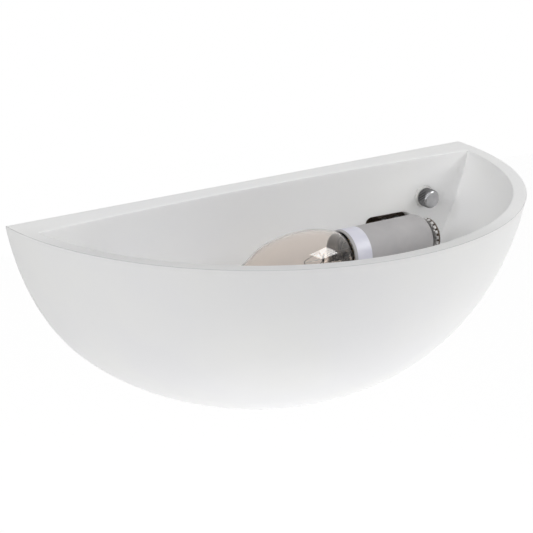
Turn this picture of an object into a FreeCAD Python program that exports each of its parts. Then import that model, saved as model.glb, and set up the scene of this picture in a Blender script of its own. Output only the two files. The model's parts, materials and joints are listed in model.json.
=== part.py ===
import FreeCAD, Part
import math
import os

# Uplighter wall sconce: a half-round cast bowl, open at the top, held on a
# steel wall plate by two studs and thumb nuts, with one candle lamp lying
# across it in a lampholder that a steel arm carries through the back wall.
#
# Millimetres. The wall is the plane y = 0 and the room is on the -y side.
# x runs along the wall, z is up. The origin is on the wall plane, in the
# middle of the wall plate's two fixing slots.

# ---------------------------------------------------------------- the bowl
bowl_width = 300.0
bowl_depth = 155.0
bowl_height = 120.0
rim_height = 33.6            # the rim above the line of the fixing slots
rim_wall = 7.5               # the bowl's wall at the rim
floor_wall = 6.0             # the bowl's wall at its lowest point
widest_above_rim = 46.0      # where the outline would be vertical
belly_power = 2.288          # 2 is an ellipse, more is squarer
back_wall_middle = 13.2      # back wall, at the middle
back_wall_ends = 19.6        # back wall, where it meets the rim's inner edge
outline_points = 15

recess_clearance_side = 3.0  # round the wall plate
recess_clearance_top = 2.0
recess_spare_depth = 0.6     # behind the earth stud's end
recess_corner = 6.0

# The window through the back wall, as gaps round what stands in it.
window_gap_left = 14.5       # left of the arm
window_gap_right = 1.2       # right of the terminal block
window_gap_below = 1.5       # below the terminal block
window_gap_above = 4.6       # above the arm
window_left_corner = 4.0
window_right_corner = 12.0

# ------------------------------------------------------- plate and studs
plate_height = 50.0
plate_thick = 1.5
plate_corner = 4.0
plate_past_stud = 7.0        # from a stud to the plate's end

fixing_spacing = 120.0
fixing_slot_width = 5.0
fixing_slot_length = 14.0

stud_inset = 39.0            # from the bowl's end to a stud
stud_height = 9.6
stud_diameter = 4.0
stud_point = 0.6             # the chamfer at the stud's end
stud_fit = 0.05              # round a stud, radially, in plate and nuts
stud_reach = 5.6             # into the thumb nut
stud_hole_clearance = 0.5    # round a stud, radially, in the bowl

lock_nut_flats = 7.0
lock_nut_thick = 2.2

spot_face_sunk = 0.5         # the washer's seat, below the back wall's face
spot_face_clearance = 0.3
washer_diameter = 12.2
washer_thick = 1.0
nut_diameter = 11.0
nut_length = 7.6
nut_bore_spare = 1.0
nut_front_chamfer = 1.5
nut_back_chamfer = 0.4
knurl_count = 36
knurl_depth = 0.45

bush_bore = 8.5
bush_body = 12.0
bush_collar = 17.0
bush_collar_thick = 1.4
bush_length = 5.0

earth_x = -32.0
earth_length = 7.4
earth_washer_diameter = 8.0
earth_washer_thick = 0.6
earth_washer_teeth = 10
earth_tooth_gap = 0.8
earth_tooth_depth = 0.9
earth_nut_flats = 7.0
earth_nut_thick = 2.8

# ------------------------------------------------------------ the lamp arm
axis_out = 53.0              # the lamp's axis, from the wall
arm_x = 84.5
arm_thick = 1.2
arm_top = -2.0
arm_bottom = -11.0
arm_straight_out = 16.0      # how far out the arm keeps its root width
arm_head_radius = 10.0
arm_bend = 1.5
rivet_diameter = 3.0
rivet_head_diameter = 5.6
rivet_head_thick = 1.4
rivet_first = 6.8            # the first rivet, from the arm's face
rivet_spacing = 9.0
rivet_edge = 4.5             # from the last rivet to the foot's end

# -------------------------------------------------------- terminal block
block_gap = 0.7              # between the arm and the block
block_width = 18.4
block_top = -12.5
block_height = 13.0
block_deep = 11.0
pole_pitch = 9.4
pole_out = 6.8               # the wires' bore, from the wall
pole_bore = 3.4
well_diameter = 3.8
clamp_size = 5.0
clamp_past_screw = 2.0
clamp_fit = 0.1
clamp_bore = 3.0
clamp_screw_diameter = 2.6
clamp_screw_pitch = 6.0
clamp_screw_length = 4.2
screw_slot_width = 0.6
screw_slot_depth = 0.8
block_screw_diameter = 3.0
block_screw_head = 5.0
block_screw_head_thick = 1.8
block_screw_sunk = 3.0
block_screw_clearance = 0.3

# ------------------------------------------------------------ lampholder
sleeve_length = 56.7
sleeve_gap = 2.4             # the dark gap between sleeve and rear ring
sleeve_diameter = 27.4
sleeve_wall = 1.0
sleeve_opening = 16.0        # in the sleeve's domed end
band_inset = 1.6             # from the sleeve's mouth
band_width = 9.6
band_thick = 0.15
band_fit = 0.02

ring_thick = 1.4             # the notched ring between core and arm
ring_diameter = 20.4
ring_chamfer = 0.6
ring_notches = 20
ring_notch_width = 1.3
ring_notch_depth = 1.5

core_inset = 7.0             # the core's front, behind the sleeve's mouth
core_diameter = 24.4
core_shoulder = 5.5          # the length that fits the sleeve
core_past_shoulder = 1.5     # from there to the core screws' seat
core_chamfer = 0.5
spigot_diameter = 13.8       # the core's thin rear end
shell_bore = 14.4
shell_wall = 0.4
shell_length = 20.0
shell_fit = 0.05
bore_before_tip = 1.5        # where the shell's bore ends, before the lamp's tip

contact_chamber = 8.4
contact_chamber_length = 8.5
contact_guide_length = 7.0
contact_head = 6.8
contact_head_thick = 1.2
contact_stem = 2.6
contact_stem_length = 10.8
contact_fit = 0.08
spring_diameter = 5.4
spring_wire = 0.5
spring_turns = 4

strip_thick = 0.6
strip_width = 3.0
strip_out = 7.0              # the strips' inner face, from the lamp's axis
strip_past_screw = 1.4
strip_behind_guide = 0.4
strip_fit = 0.1
core_screw_height = 9.2
core_screw_diameter = 2.8
core_screw_head = 3.8
core_screw_head_thick = 1.1

nipple_diameter = 10.0
nipple_bore = 7.0
nipple_into_core = 4.0
nipple_proud = 0.9
nipple_nut_flats = 13.0
nipple_nut_thick = 2.4

lead_diameter = 2.0
lead_fit = 0.1
lead_height = 1.8            # each lead's offset from the axis, in the nipple
lead_into_block = 5.5
lead_turn_out = 7.5          # beside the arm, where the leads turn inwards
lead_slope_end = 22.0        # before the axis, where the leads' slope ends
lead_radii = [3.2, 9.0, 4.0]
live_rise_end = -9.0
neutral_rise_end = -7.5

# ------------------------------------------------------------------ lamp
lamp_length = 102.0
# Down the glass from its tip: distances behind the tip, and radii there.
glass_distances = [0.0, 0.5, 8.8, 19.7, 33.4, 46.5, 58.6, 65.5, 70.0]
glass_radii = [0.0, 1.5, 6.6, 12.4, 16.3, 17.5, 16.4, 14.5, 12.3]
glass_wall = 0.8
neck_flare_length = 2.6
neck_flare_radius = 8.6
lamp_cap_inset = 5.0         # the lamp cap's edge, behind the sleeve's mouth
lamp_cap_length = 21.6
lamp_cap_diameter = 13.8
lamp_cap_wall = 0.35
lamp_cap_shoulder = 1.0
lamp_cap_end_hole = 10.4
cap_to_tip = 4.9
neck_length = 5.0
neck_fit = 0.1
insulator_inside = 1.4
insulator_diameter = 11.4
tip_diameter = 5.4
tip_thick = 1.2
tip_border = 0.4
stem_length = 22.0
stem_waist = 5.4
stem_pinch = 10.0
stem_pinch_thick = 2.0
stem_fit = 0.1
lead_wire = 0.5
lead_wire_root = 1.7
lead_wire_straight = 1.4
lead_wire_reach = 4.5
filament_from_stem = 3.0
filament_loop = 9.5
filament_fold = 1.8          # across the loop at its far end
filament_diameter = 0.7
filament_gap = 0.06
support_wire = 0.5

# --------------------------------------------------- what follows from them
half_width = bowl_width / 2.0
back_half = half_width - rim_wall
back_bulge = back_half ** 2 / (2.0 * (back_wall_ends - back_wall_middle))
stud_x = half_width - stud_inset
plate_width = 2.0 * (stud_x + plate_past_stud)
recess_depth = earth_length + recess_spare_depth
spot_face_depth = back_wall_middle + stud_x ** 2 / (2.0 * back_bulge) - spot_face_sunk
washer_front = spot_face_depth + washer_thick
stud_end = washer_front + stud_reach
stud_hole = stud_diameter + 2.0 * stud_fit

arm_face = arm_x + arm_thick
foot_z = (arm_top + arm_bottom) / 2.0
rivet_places = [arm_face + rivet_first, arm_face + rivet_first + rivet_spacing]
foot_end = rivet_places[-1] + rivet_edge

block_left = arm_face + block_gap
block_right = block_left + block_width
block_x = block_left + block_width / 2.0
block_z = block_top - block_height / 2.0
block_front = -plate_thick - block_deep
pole_places = [block_x - pole_pitch / 2.0, block_x + pole_pitch / 2.0]
clamp_half = clamp_size / 2.0
clamp_reach = clamp_screw_pitch / 2.0 + clamp_past_screw
clamp_screw_places = [block_z - clamp_screw_pitch / 2.0, block_z + clamp_screw_pitch / 2.0]
block_screw_seat = block_front + block_screw_sunk

ring_front = arm_x - ring_thick
sleeve_end = ring_front - sleeve_gap
sleeve_mouth = sleeve_end - sleeve_length
sleeve_inside = sleeve_diameter - 2.0 * sleeve_wall
dome_radius = (sleeve_diameter - sleeve_opening) / 2.0
dome_start = sleeve_end - dome_radius
core_seat = dome_start + core_past_shoulder
nipple_start = ring_front - nipple_into_core
core_front = sleeve_mouth + core_inset
shell_end = core_front + shell_length
shell_outer = shell_bore + 2.0 * shell_wall
nipple_end = arm_face + nipple_nut_thick + nipple_proud

lamp_cap_front = sleeve_mouth + lamp_cap_inset
lamp_cap_end = lamp_cap_front + lamp_cap_length
tip_end = lamp_cap_end + cap_to_tip
tip_seat = tip_end - tip_thick
glass_tip = tip_end - lamp_length
neck_end = lamp_cap_front + neck_length
neck_radius = lamp_cap_diameter / 2.0 - lamp_cap_wall - neck_fit
stem_end = neck_end - stem_length
filament_x = stem_end - filament_from_stem

chamber_end = tip_end + contact_chamber_length
guide_end = chamber_end + contact_guide_length
spring_end = chamber_end - strip_thick
strip_leg = guide_end + strip_behind_guide
strip_end = strip_leg + strip_thick


# ------------------------------------------------------------ plain helpers
def vec(x, y, z):
    return FreeCAD.Vector(x, y, z)


def on_axis(x):
    """The point of the lamp's axis at x."""
    return vec(x, -axis_out, 0.0)


def rod(diameter, start, end):
    """A round bar from the point start to the point end."""
    along = end - start
    return Part.makeCylinder(diameter / 2.0, along.Length, start, along)


def tube(outer, inner, start, end):
    """A round tube from the point start to the point end."""
    return rod(outer, start, end).cut(rod(inner, start, end))


def block(x0, x1, y0, y1, z0, z1):
    """A rectangular block between six planes."""
    return Part.makeBox(x1 - x0, y1 - y0, z1 - z0, vec(x0, y0, z0))


def hexagon(flats, start, thick, axis):
    """A six-sided prism across flats, from start along a unit vector."""
    radius = flats / math.sqrt(3.0)
    across = vec(0, 0, 1)
    aside = axis.cross(across)
    corners = []
    for i in range(7):
        angle = math.radians(60.0 * i)
        corners.append(start + across * (radius * math.cos(angle))
                       + aside * (radius * math.sin(angle)))
    return Part.Face(Part.makePolygon(corners)).extrude(axis * thick)


def turned(points, start, axis, aside):
    """A solid of revolution. Each point is (distance along, radius)."""
    corners = [start + axis * along + aside * radius for along, radius in points]
    face = Part.Face(Part.makePolygon(corners + [corners[0]]))
    return face.revolve(start, axis, 360.0)


def turned_on_lamp_axis(points):
    """A solid of revolution round the lamp's axis. Points are (x, radius)."""
    return turned(points, on_axis(0.0), vec(1, 0, 0), vec(0, 0, 1))


def rounded_panel(x0, x1, z0, z1, corners, y0, y1):
    """A panel in the plane of the wall. corners are the radii of the lower
    left, lower right, top right and top left corner."""
    low_left, low_right, top_right, top_left = corners
    places = [(x0, z0, low_left, 1, 1), (x1, z0, low_right, -1, 1),
              (x1, z1, top_right, -1, -1), (x0, z1, top_left, 1, -1)]
    edges = []
    last = None
    first = None
    for x, z, radius, inward_x, inward_z in places:
        centre = vec(x + inward_x * radius, y0, z + inward_z * radius)
        upright = vec(x, y0, centre.z)
        level = vec(centre.x, y0, z)
        middle = centre + vec(-inward_x, 0, -inward_z) * (radius / math.sqrt(2.0))
        start, end = (upright, level) if inward_x == inward_z else (level, upright)
        if last is not None:
            edges.append(Part.LineSegment(last, start).toShape())
        edges.append(Part.Arc(start, middle, end).toShape())
        first = first or start
        last = end
    edges.append(Part.LineSegment(last, first).toShape())
    return Part.Face(Part.Wire(edges)).extrude(vec(0, y1 - y0, 0))


def slot_hole(x, z, width, length, y0, y1):
    """A slot with round ends, along x."""
    reach = (length - width) / 2.0
    hole = block(x - reach, x + reach, y1, y0, z - width / 2.0, z + width / 2.0)
    for end in (x - reach, x + reach):
        hole = hole.fuse(rod(width, vec(end, y0, z), vec(end, y1, z)))
    return hole


def bent_rod(diameter, corners, radii):
    """A round wire through the corners, each turned with its own radius."""
    edges = []
    last = corners[0]
    for before, corner, after, radius in zip(corners, corners[1:], corners[2:], radii):
        back = (before - corner).normalize()
        ahead = (after - corner).normalize()
        half = back.getAngle(ahead) / 2.0
        reach = radius / math.tan(half)
        start = corner + back * reach
        end = corner + ahead * reach
        centre = corner + (back + ahead).normalize() * (radius / math.sin(half))
        middle = centre + (corner - centre).normalize() * radius
        edges.append(Part.LineSegment(last, start).toShape())
        edges.append(Part.Arc(start, middle, end).toShape())
        last = end
    edges.append(Part.LineSegment(last, corners[-1]).toShape())
    path = Part.Wire(edges)
    facing = corners[1] - corners[0]
    ring = Part.Wire(Part.makeCircle(diameter / 2.0, corners[0], facing))
    return path.makePipeShell([ring], True, False)


def tangent_place(point, centre, radius, side):
    """Where a line from the point touches a circle, in (y, z). side is 1
    for the upper one of the two lines and -1 for the lower one."""
    y = centre[0] - point[0]
    z = centre[1] - point[1]
    distance = math.hypot(y, z)
    slope = math.atan2(z, y) - side * math.asin(radius / distance)
    reach = math.sqrt(distance ** 2 - radius ** 2)
    return point[0] + reach * math.cos(slope), point[1] + reach * math.sin(slope)


# ------------------------------------------------------------------ the bowl
def belly(rim_radius, low_point):
    """Half of a bowl's outline, from its rim to the lowest point, turned
    round the z axis. The outline is a superellipse: with both measured
    from the widest level, (radius / widest) ** power and
    (depth / deepest) ** power add up to one. Its seam lies in the wall."""
    deepest = widest_above_rim + low_point
    start = math.asin((widest_above_rim / deepest) ** (belly_power / 2.0))
    widest = rim_radius / math.cos(start) ** (2.0 / belly_power)
    points = []
    for i in range(outline_points):
        angle = start + (math.pi / 2.0 - start) * i / (outline_points - 1)
        across = widest * max(math.cos(angle), 0.0) ** (2.0 / belly_power)
        down = deepest * math.sin(angle) ** (2.0 / belly_power)
        points.append(vec(0, across, rim_height + widest_above_rim - down))
    points[-1].y = 0.0
    curve = Part.BSplineCurve()
    slope = points[1] - points[0]
    level = vec(0, -slope.Length, 0)
    curve.interpolate(Points=points, InitialTangent=slope, FinalTangent=level)
    top = points[0]
    raised = top + vec(0, 0, 1)
    middle = vec(0, 0, raised.z)
    edges = [curve.toShape(), Part.LineSegment(points[-1], middle).toShape(),
             Part.LineSegment(middle, raised).toShape(), Part.LineSegment(raised, top).toShape()]
    return Part.Face(Part.Wire(edges)).revolve(vec(0, 0, 0), vec(0, 0, 1), 360.0)


def deepened(shape, depth, radius):
    """Stretches a round bowl away from the wall to its real depth."""
    stretch = FreeCAD.Matrix()
    stretch.scale(1.0, depth / radius, 1.0)
    return shape.transformGeometry(stretch)


def plaster_bowl():
    """The casting: shell, back wall, rear recess, window and stud holes.
    The back wall's face bulges a little towards the room in its middle."""
    outer = deepened(belly(half_width, bowl_height), bowl_depth, half_width)
    room = [-bowl_width, bowl_width, -2.0 * bowl_depth, 0]
    outer = outer.common(block(*room, rim_height - 2.0 * bowl_height, rim_height))
    inner = deepened(belly(back_half, bowl_height - floor_wall), bowl_depth - rim_wall, back_half)
    bulge_axis = vec(0, -back_wall_middle - back_bulge, -bowl_height)
    inner = inner.common(Part.makeCylinder(back_bulge, 2.0 * bowl_height, bulge_axis, vec(0, 0, 1)))
    inner = inner.common(block(*room, -bowl_height, bowl_height))
    bowl = outer.cut(inner)

    recess_x = plate_width / 2.0 + recess_clearance_side
    recess_z = plate_height / 2.0 + recess_clearance_top
    recess = rounded_panel(-recess_x, recess_x, -recess_z, recess_z,
                           [recess_corner] * 4, 0, -recess_depth)
    through = -2.0 * back_wall_ends
    corners = [window_left_corner, window_left_corner, window_right_corner, window_left_corner]
    window = rounded_panel(arm_x - window_gap_left, block_right + window_gap_right,
                           block_top - block_height - window_gap_below, arm_top + window_gap_above,
                           corners, 0, through)
    bowl = bowl.cut(recess).cut(window)
    hole = stud_diameter + 2.0 * stud_hole_clearance
    seat = washer_diameter + 2.0 * spot_face_clearance
    for x in (-stud_x, stud_x):
        bowl = bowl.cut(rod(hole, vec(x, 0, stud_height), vec(x, through, stud_height)))
        bowl = bowl.cut(rod(seat, vec(x, -spot_face_depth, stud_height), vec(x, through, stud_height)))
    return bowl


# --------------------------------------------------------- plate and studs
def wall_plate():
    """The steel plate that is screwed to the wall."""
    half = plate_width / 2.0
    plate = rounded_panel(-half, half, -plate_height / 2.0, plate_height / 2.0,
                          [plate_corner] * 4, 0, -plate_thick)
    for x in (-fixing_spacing / 2.0, fixing_spacing / 2.0):
        plate = plate.cut(slot_hole(x, 0.0, fixing_slot_width, fixing_slot_length, 0, -plate_thick))
    holes = [(stud_hole, -stud_x, stud_height),
             (stud_hole, stud_x, stud_height),
             (stud_hole, earth_x, 0.0),
             (bush_body, 0.0, 0.0),
             (block_screw_diameter, block_x, block_z)]
    holes += [(rivet_diameter, x, foot_z) for x in rivet_places]
    for diameter, x, z in holes:
        plate = plate.cut(rod(diameter, vec(x, 0, z), vec(x, -plate_thick, z)))
    return plate


def stud(x):
    """A threaded stud, flush with the back of the plate."""
    radius = stud_diameter / 2.0
    outline = [(0, 0), (0, radius), (stud_end - stud_point, radius),
               (stud_end, radius - stud_point), (stud_end, 0)]
    return turned(outline, vec(x, 0, stud_height), vec(0, -1, 0), vec(0, 0, 1))


def stud_lock_nuts():
    """The thin nuts that clamp the studs to the plate."""
    nuts = []
    for x in (-stud_x, stud_x):
        start = vec(x, -plate_thick, stud_height)
        nut = hexagon(lock_nut_flats, start, lock_nut_thick, vec(0, -1, 0))
        nuts.append(nut.cut(rod(stud_hole, start, start + vec(0, -lock_nut_thick, 0))))
    return Part.makeCompound(nuts)


def washer(x):
    """The pale washer that spreads the nut's load on the plaster."""
    start = vec(x, -spot_face_depth, stud_height)
    return tube(washer_diameter, stud_hole, start, start + vec(0, -washer_thick, 0))


def thumb_nut(x):
    """A blind knurled nut. Its side is a ring of V-shaped ridges, cut down
    to a turned outline with a chamfer at each end."""
    radius = nut_diameter / 2.0
    start = vec(x, -washer_front, stud_height)
    ridges = []
    for i in range(2 * knurl_count + 1):
        angle = math.pi * i / knurl_count
        reach = radius - knurl_depth * (i % 2)
        ridges.append(start + vec(reach * math.sin(angle), 0, reach * math.cos(angle)))
    grip = Part.Face(Part.makePolygon(ridges)).extrude(vec(0, -nut_length, 0))
    outline = [(0, 0), (0, radius - nut_back_chamfer), (nut_back_chamfer, radius),
               (nut_length - nut_front_chamfer, radius),
               (nut_length - nut_front_chamfer / 3.0, radius - nut_front_chamfer / 2.0),
               (nut_length, radius - nut_front_chamfer), (nut_length, 0)]
    body = grip.common(turned(outline, start, vec(0, -1, 0), vec(0, 0, 1)))
    return body.cut(rod(stud_hole, start, start + vec(0, -stud_reach - nut_bore_spare, 0)))


def cable_bush():
    """The bush that lines the cable hole of the plate."""
    back = vec(0, 0, 0)
    seat = vec(0, -plate_thick, 0)
    front = vec(0, -bush_length, 0)
    collar = rod(bush_collar, seat, seat + vec(0, -bush_collar_thick, 0))
    body = rod(bush_body, back, front).fuse(collar)
    return body.cut(rod(bush_bore, back, front)).removeSplitter()


def earth_stud():
    """The earth terminal's stud, flush with the back of the plate."""
    return rod(stud_diameter, vec(earth_x, 0, 0), vec(earth_x, -earth_length, 0))


def earth_washer():
    """The toothed washer under the earth nut."""
    start = vec(earth_x, -plate_thick, 0)
    end = start + vec(0, -earth_washer_thick, 0)
    ring = tube(earth_washer_diameter, stud_hole, start, end)
    radius = earth_washer_diameter / 2.0
    for i in range(earth_washer_teeth):
        notch = block(earth_x - earth_tooth_gap / 2.0, earth_x + earth_tooth_gap / 2.0,
                      end.y, start.y, radius - earth_tooth_depth, 2.0 * radius)
        notch.rotate(start, vec(0, 1, 0), 360.0 * i / earth_washer_teeth)
        ring = ring.cut(notch)
    return ring


def earth_nut():
    """The nut of the earth terminal."""
    start = vec(earth_x, -plate_thick - earth_washer_thick, 0)
    nut = hexagon(earth_nut_flats, start, earth_nut_thick, vec(0, -1, 0))
    return nut.cut(rod(stud_hole, start, start + vec(0, -earth_nut_thick, 0)))


# ------------------------------------------------------------ the lamp arm
def lampholder_arm():
    """A steel angle: a foot on the plate and a blade that widens to a round
    head behind the lampholder's cap. The blade's slanted edges touch the
    head's circle."""
    head = (-axis_out, 0.0)
    top = (-arm_straight_out, arm_top)
    low = (-arm_straight_out, arm_bottom)
    outline = [(-plate_thick, arm_bottom), (-plate_thick, arm_top), top,
               tangent_place(top, head, arm_head_radius, 1), head,
               tangent_place(low, head, arm_head_radius, -1), low]
    corners = [vec(arm_x, y, z) for y, z in outline]
    blade = Part.Face(Part.makePolygon(corners + [corners[0]])).extrude(vec(arm_thick, 0, 0))
    blade = blade.fuse(rod(2.0 * arm_head_radius, on_axis(arm_x), on_axis(arm_face)))
    foot = block(arm_x, foot_end, -plate_thick - arm_thick, -plate_thick, arm_bottom, arm_top)
    arm = blade.fuse(foot).removeSplitter()
    corner = Part.Vertex(vec(arm_x, -plate_thick, foot_z))
    bend = [edge for edge in arm.Edges if edge.distToShape(corner)[0] < 0.001]
    arm = arm.makeFillet(arm_bend, bend)
    arm = arm.cut(rod(nipple_diameter, on_axis(arm_x), on_axis(arm_face)))
    for x in rivet_places:
        arm = arm.cut(rod(rivet_diameter, vec(x, 0, foot_z), vec(x, -arm_straight_out, foot_z)))
    return arm


def arm_rivets():
    """Two rivets through the foot and the plate, flush at the back."""
    rivets = []
    seat = plate_thick + arm_thick
    shank = rivet_diameter / 2.0
    head = rivet_head_diameter / 2.0
    outline = [(0, 0), (0, shank), (seat, shank), (seat, head),
               (seat + 0.5 * rivet_head_thick, 0.86 * head),
               (seat + rivet_head_thick, 0.4 * head), (seat + rivet_head_thick, 0)]
    for x in rivet_places:
        rivets.append(turned(outline, vec(x, 0, foot_z), vec(0, -1, 0), vec(0, 0, 1)))
    return Part.makeCompound(rivets)


# ---------------------------------------------------------- terminal block
def terminal_block():
    """The insulating body, with a bore through each pole, a pocket round
    each clamp and two wells that reach its screws."""
    body = block(block_left, block_right, block_front, -plate_thick,
                 block_top - block_height, block_top)
    across = clamp_half + clamp_fit
    along = clamp_reach + clamp_fit
    for x in pole_places:
        body = body.cut(rod(pole_bore, vec(x, -pole_out, block_top),
                            vec(x, -pole_out, block_top - block_height)))
        body = body.cut(block(x - across, x + across, -pole_out - across, -pole_out + across,
                              block_z - along, block_z + along))
        for z in clamp_screw_places:
            body = body.cut(rod(well_diameter, vec(x, block_front, z), vec(x, -pole_out, z)))
    body = body.cut(rod(block_screw_diameter, vec(block_x, -plate_thick, block_z),
                        vec(block_x, block_front, block_z)))
    return body.cut(rod(block_screw_head + 2.0 * block_screw_clearance,
                        vec(block_x, block_screw_seat, block_z), vec(block_x, block_front, block_z)))


def block_clamps():
    """The brass clamps that hold the wires."""
    clamps = []
    for x in pole_places:
        bar = block(x - clamp_half, x + clamp_half, -pole_out - clamp_half, -pole_out + clamp_half,
                    block_z - clamp_reach, block_z + clamp_reach)
        bar = bar.cut(rod(clamp_bore, vec(x, -pole_out, block_z - clamp_reach),
                          vec(x, -pole_out, block_z + clamp_reach)))
        for z in clamp_screw_places:
            bar = bar.cut(rod(clamp_screw_diameter, vec(x, -pole_out, z),
                              vec(x, -pole_out - clamp_half, z)))
        clamps.append(bar)
    return Part.makeCompound(clamps)


def slotted_screw(x, z, tip, shank, shank_end, head, head_end):
    """A slotted screw towards the room, from its tip to its head's face."""
    screw = rod(shank, vec(x, tip, z), vec(x, shank_end, z))
    screw = screw.fuse(rod(head, vec(x, shank_end, z), vec(x, head_end, z)))
    slot = block(x - screw_slot_width / 2.0, x + screw_slot_width / 2.0,
                 head_end, head_end + screw_slot_depth, z - head, z + head)
    return screw.cut(slot).removeSplitter()


def block_screws():
    """The four clamp screws. The upper two press on the leads."""
    tip = -pole_out - lead_diameter / 2.0
    face = tip - clamp_screw_length
    middle = tip - clamp_screw_length / 2.0
    screws = [slotted_screw(x, z, tip, clamp_screw_diameter, middle, clamp_screw_diameter, face)
              for x in pole_places for z in clamp_screw_places]
    return Part.makeCompound(screws)


def block_fixing_screw():
    """The screw that holds the block on the plate."""
    return slotted_screw(block_x, block_z, 0, block_screw_diameter, block_screw_seat,
                         block_screw_head, block_screw_seat - block_screw_head_thick)


def lead(x, side, rise_end):
    """One sleeved lead: up out of its pole, forward beside the arm, and
    round into the nipple. side is the sign of its offset from the axis."""
    height = side * lead_height
    turn_x = arm_face + lead_turn_out
    corners = [vec(x, -pole_out, block_top - lead_into_block),
               vec(x, -pole_out, rise_end),
               vec(turn_x, -axis_out + lead_slope_end, height),
               vec(turn_x, -axis_out, height),
               vec(strip_end, -axis_out, height)]
    return bent_rod(lead_diameter, corners, lead_radii)


# ------------------------------------------------------------- lampholder
def quarter_turn(radius):
    """The quarter circle by which the sleeve's outline turns in, from along
    the axis to its opening."""
    low = sleeve_opening / 2.0
    slant = radius * math.sqrt(0.5)
    return Part.Arc(on_axis(dome_start) + vec(0, 0, low + radius),
                    on_axis(dome_start + slant) + vec(0, 0, low + slant),
                    on_axis(dome_start + radius) + vec(0, 0, low)).toShape()


def holder_sleeve():
    """The outer sleeve, with a domed far end round the core's spigot."""
    outer = quarter_turn(dome_radius)
    inner = quarter_turn(dome_radius - sleeve_wall)
    mouth_outer = on_axis(sleeve_mouth) + vec(0, 0, sleeve_diameter / 2.0)
    mouth_inner = on_axis(sleeve_mouth) + vec(0, 0, sleeve_inside / 2.0)
    starts = [mouth_inner, mouth_outer, outer.Vertexes[1].Point, inner.Vertexes[0].Point]
    ends = [mouth_outer, outer.Vertexes[0].Point, inner.Vertexes[1].Point, mouth_inner]
    lines = [Part.LineSegment(start, end).toShape() for start, end in zip(starts, ends)]
    edges = [lines[0], lines[1], outer, lines[2], inner, lines[3]]
    return Part.Face(Part.Wire(edges)).revolve(on_axis(0.0), vec(1, 0, 0), 360.0)


def sleeve_band():
    """The thin plain band round the sleeve, near its mouth."""
    inner = sleeve_diameter + 2.0 * band_fit
    start = on_axis(sleeve_mouth + band_inset)
    return tube(inner + 2.0 * band_thick, inner, start, start + vec(band_width, 0, 0))


def strip_solid(side, start, grow):
    """One terminal strip: a run along the core and a leg across its end,
    at which a lead ends and a core screw presses. side is the sign of its
    z, start is where it begins, and grow is added all round."""
    half = strip_width / 2.0 + grow
    run_low = strip_out - grow
    run_high = strip_out + strip_thick + grow
    leg_low = lead_height - lead_diameter / 2.0 - grow
    leg_high = core_screw_height + strip_past_screw + grow
    run = block(start - grow, strip_leg, -axis_out - half, -axis_out + half, run_low, run_high)
    leg = block(strip_leg - grow, strip_end + grow, -axis_out - half, -axis_out + half,
                leg_low, leg_high)
    strip = run.fuse(leg)
    if side < 0:
        strip.rotate(on_axis(0.0), vec(1, 0, 0), 180.0)
    return strip


def spring_seat(grow):
    """The live strip's other end: a tail and a ring behind the spring."""
    half = strip_width / 2.0 + grow
    ring = rod(contact_chamber - 2.0 * strip_fit + 2.0 * grow, on_axis(spring_end - grow),
               on_axis(chamber_end + grow))
    tail = block(spring_end - grow, chamber_end + grow, -axis_out - half, -axis_out + half,
                 -strip_out - strip_thick - grow, 0)
    return ring.fuse(tail)


def neutral_strip():
    """The strip from the lamp's threaded shell to the neutral lead."""
    return strip_solid(1, shell_end, 0.0).removeSplitter()


def live_strip():
    """The strip from the contact's spring to the live lead."""
    strip = strip_solid(-1, spring_end, 0.0).fuse(spring_seat(0.0))
    hole = rod(contact_stem + 2.0 * contact_fit, on_axis(spring_end), on_axis(chamber_end))
    return strip.cut(hole).removeSplitter()


def holder_core():
    """The insulating core: the threaded shell's bore, the sprung contact's
    chamber and guide, the strips' pockets, the leads' bores and the screw
    holes. A shoulder fits the sleeve and a spigot reaches the rear ring."""
    radius = core_diameter / 2.0
    fit = sleeve_inside / 2.0
    shoulder = dome_start - core_shoulder
    spigot = spigot_diameter / 2.0
    core = turned_on_lamp_axis([(core_front, 0), (core_front, radius), (shoulder, radius),
                                (shoulder, fit), (dome_start, fit), (dome_start, radius),
                                (core_seat - core_chamfer, radius),
                                (core_seat, radius - core_chamfer), (core_seat, spigot),
                                (ring_front, spigot), (ring_front, 0)])
    bore_end = tip_end - bore_before_tip
    core = core.cut(rod(shell_outer + 2.0 * shell_fit, on_axis(core_front), on_axis(bore_end)))
    core = core.cut(rod(contact_chamber, on_axis(bore_end), on_axis(spring_end)))
    core = core.cut(rod(contact_stem + 2.0 * contact_fit, on_axis(spring_end), on_axis(guide_end)))
    core = core.cut(strip_solid(1, shell_end, strip_fit))
    core = core.cut(strip_solid(-1, spring_end, strip_fit))
    core = core.cut(spring_seat(strip_fit))
    for side in (-1, 1):
        offset = vec(0, 0, side * lead_height)
        core = core.cut(rod(lead_diameter + 2.0 * lead_fit, on_axis(strip_end) + offset,
                            on_axis(nipple_start) + offset))
        offset = vec(0, 0, side * core_screw_height)
        core = core.cut(rod(core_screw_diameter, on_axis(strip_end) + offset,
                            on_axis(core_seat) + offset))
    return core.cut(rod(nipple_diameter, on_axis(nipple_start), on_axis(ring_front)))


def thread_shell():
    """The metal shell that the lamp's cap screws into."""
    return tube(shell_outer, shell_bore, on_axis(core_front), on_axis(shell_end))


def centre_contact():
    """The sprung pin that the lamp's tip touches."""
    back = tip_end + contact_head_thick
    head = rod(contact_head, on_axis(tip_end), on_axis(back))
    stem = rod(contact_stem, on_axis(back), on_axis(back + contact_stem_length))
    return head.fuse(stem).removeSplitter()


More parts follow.
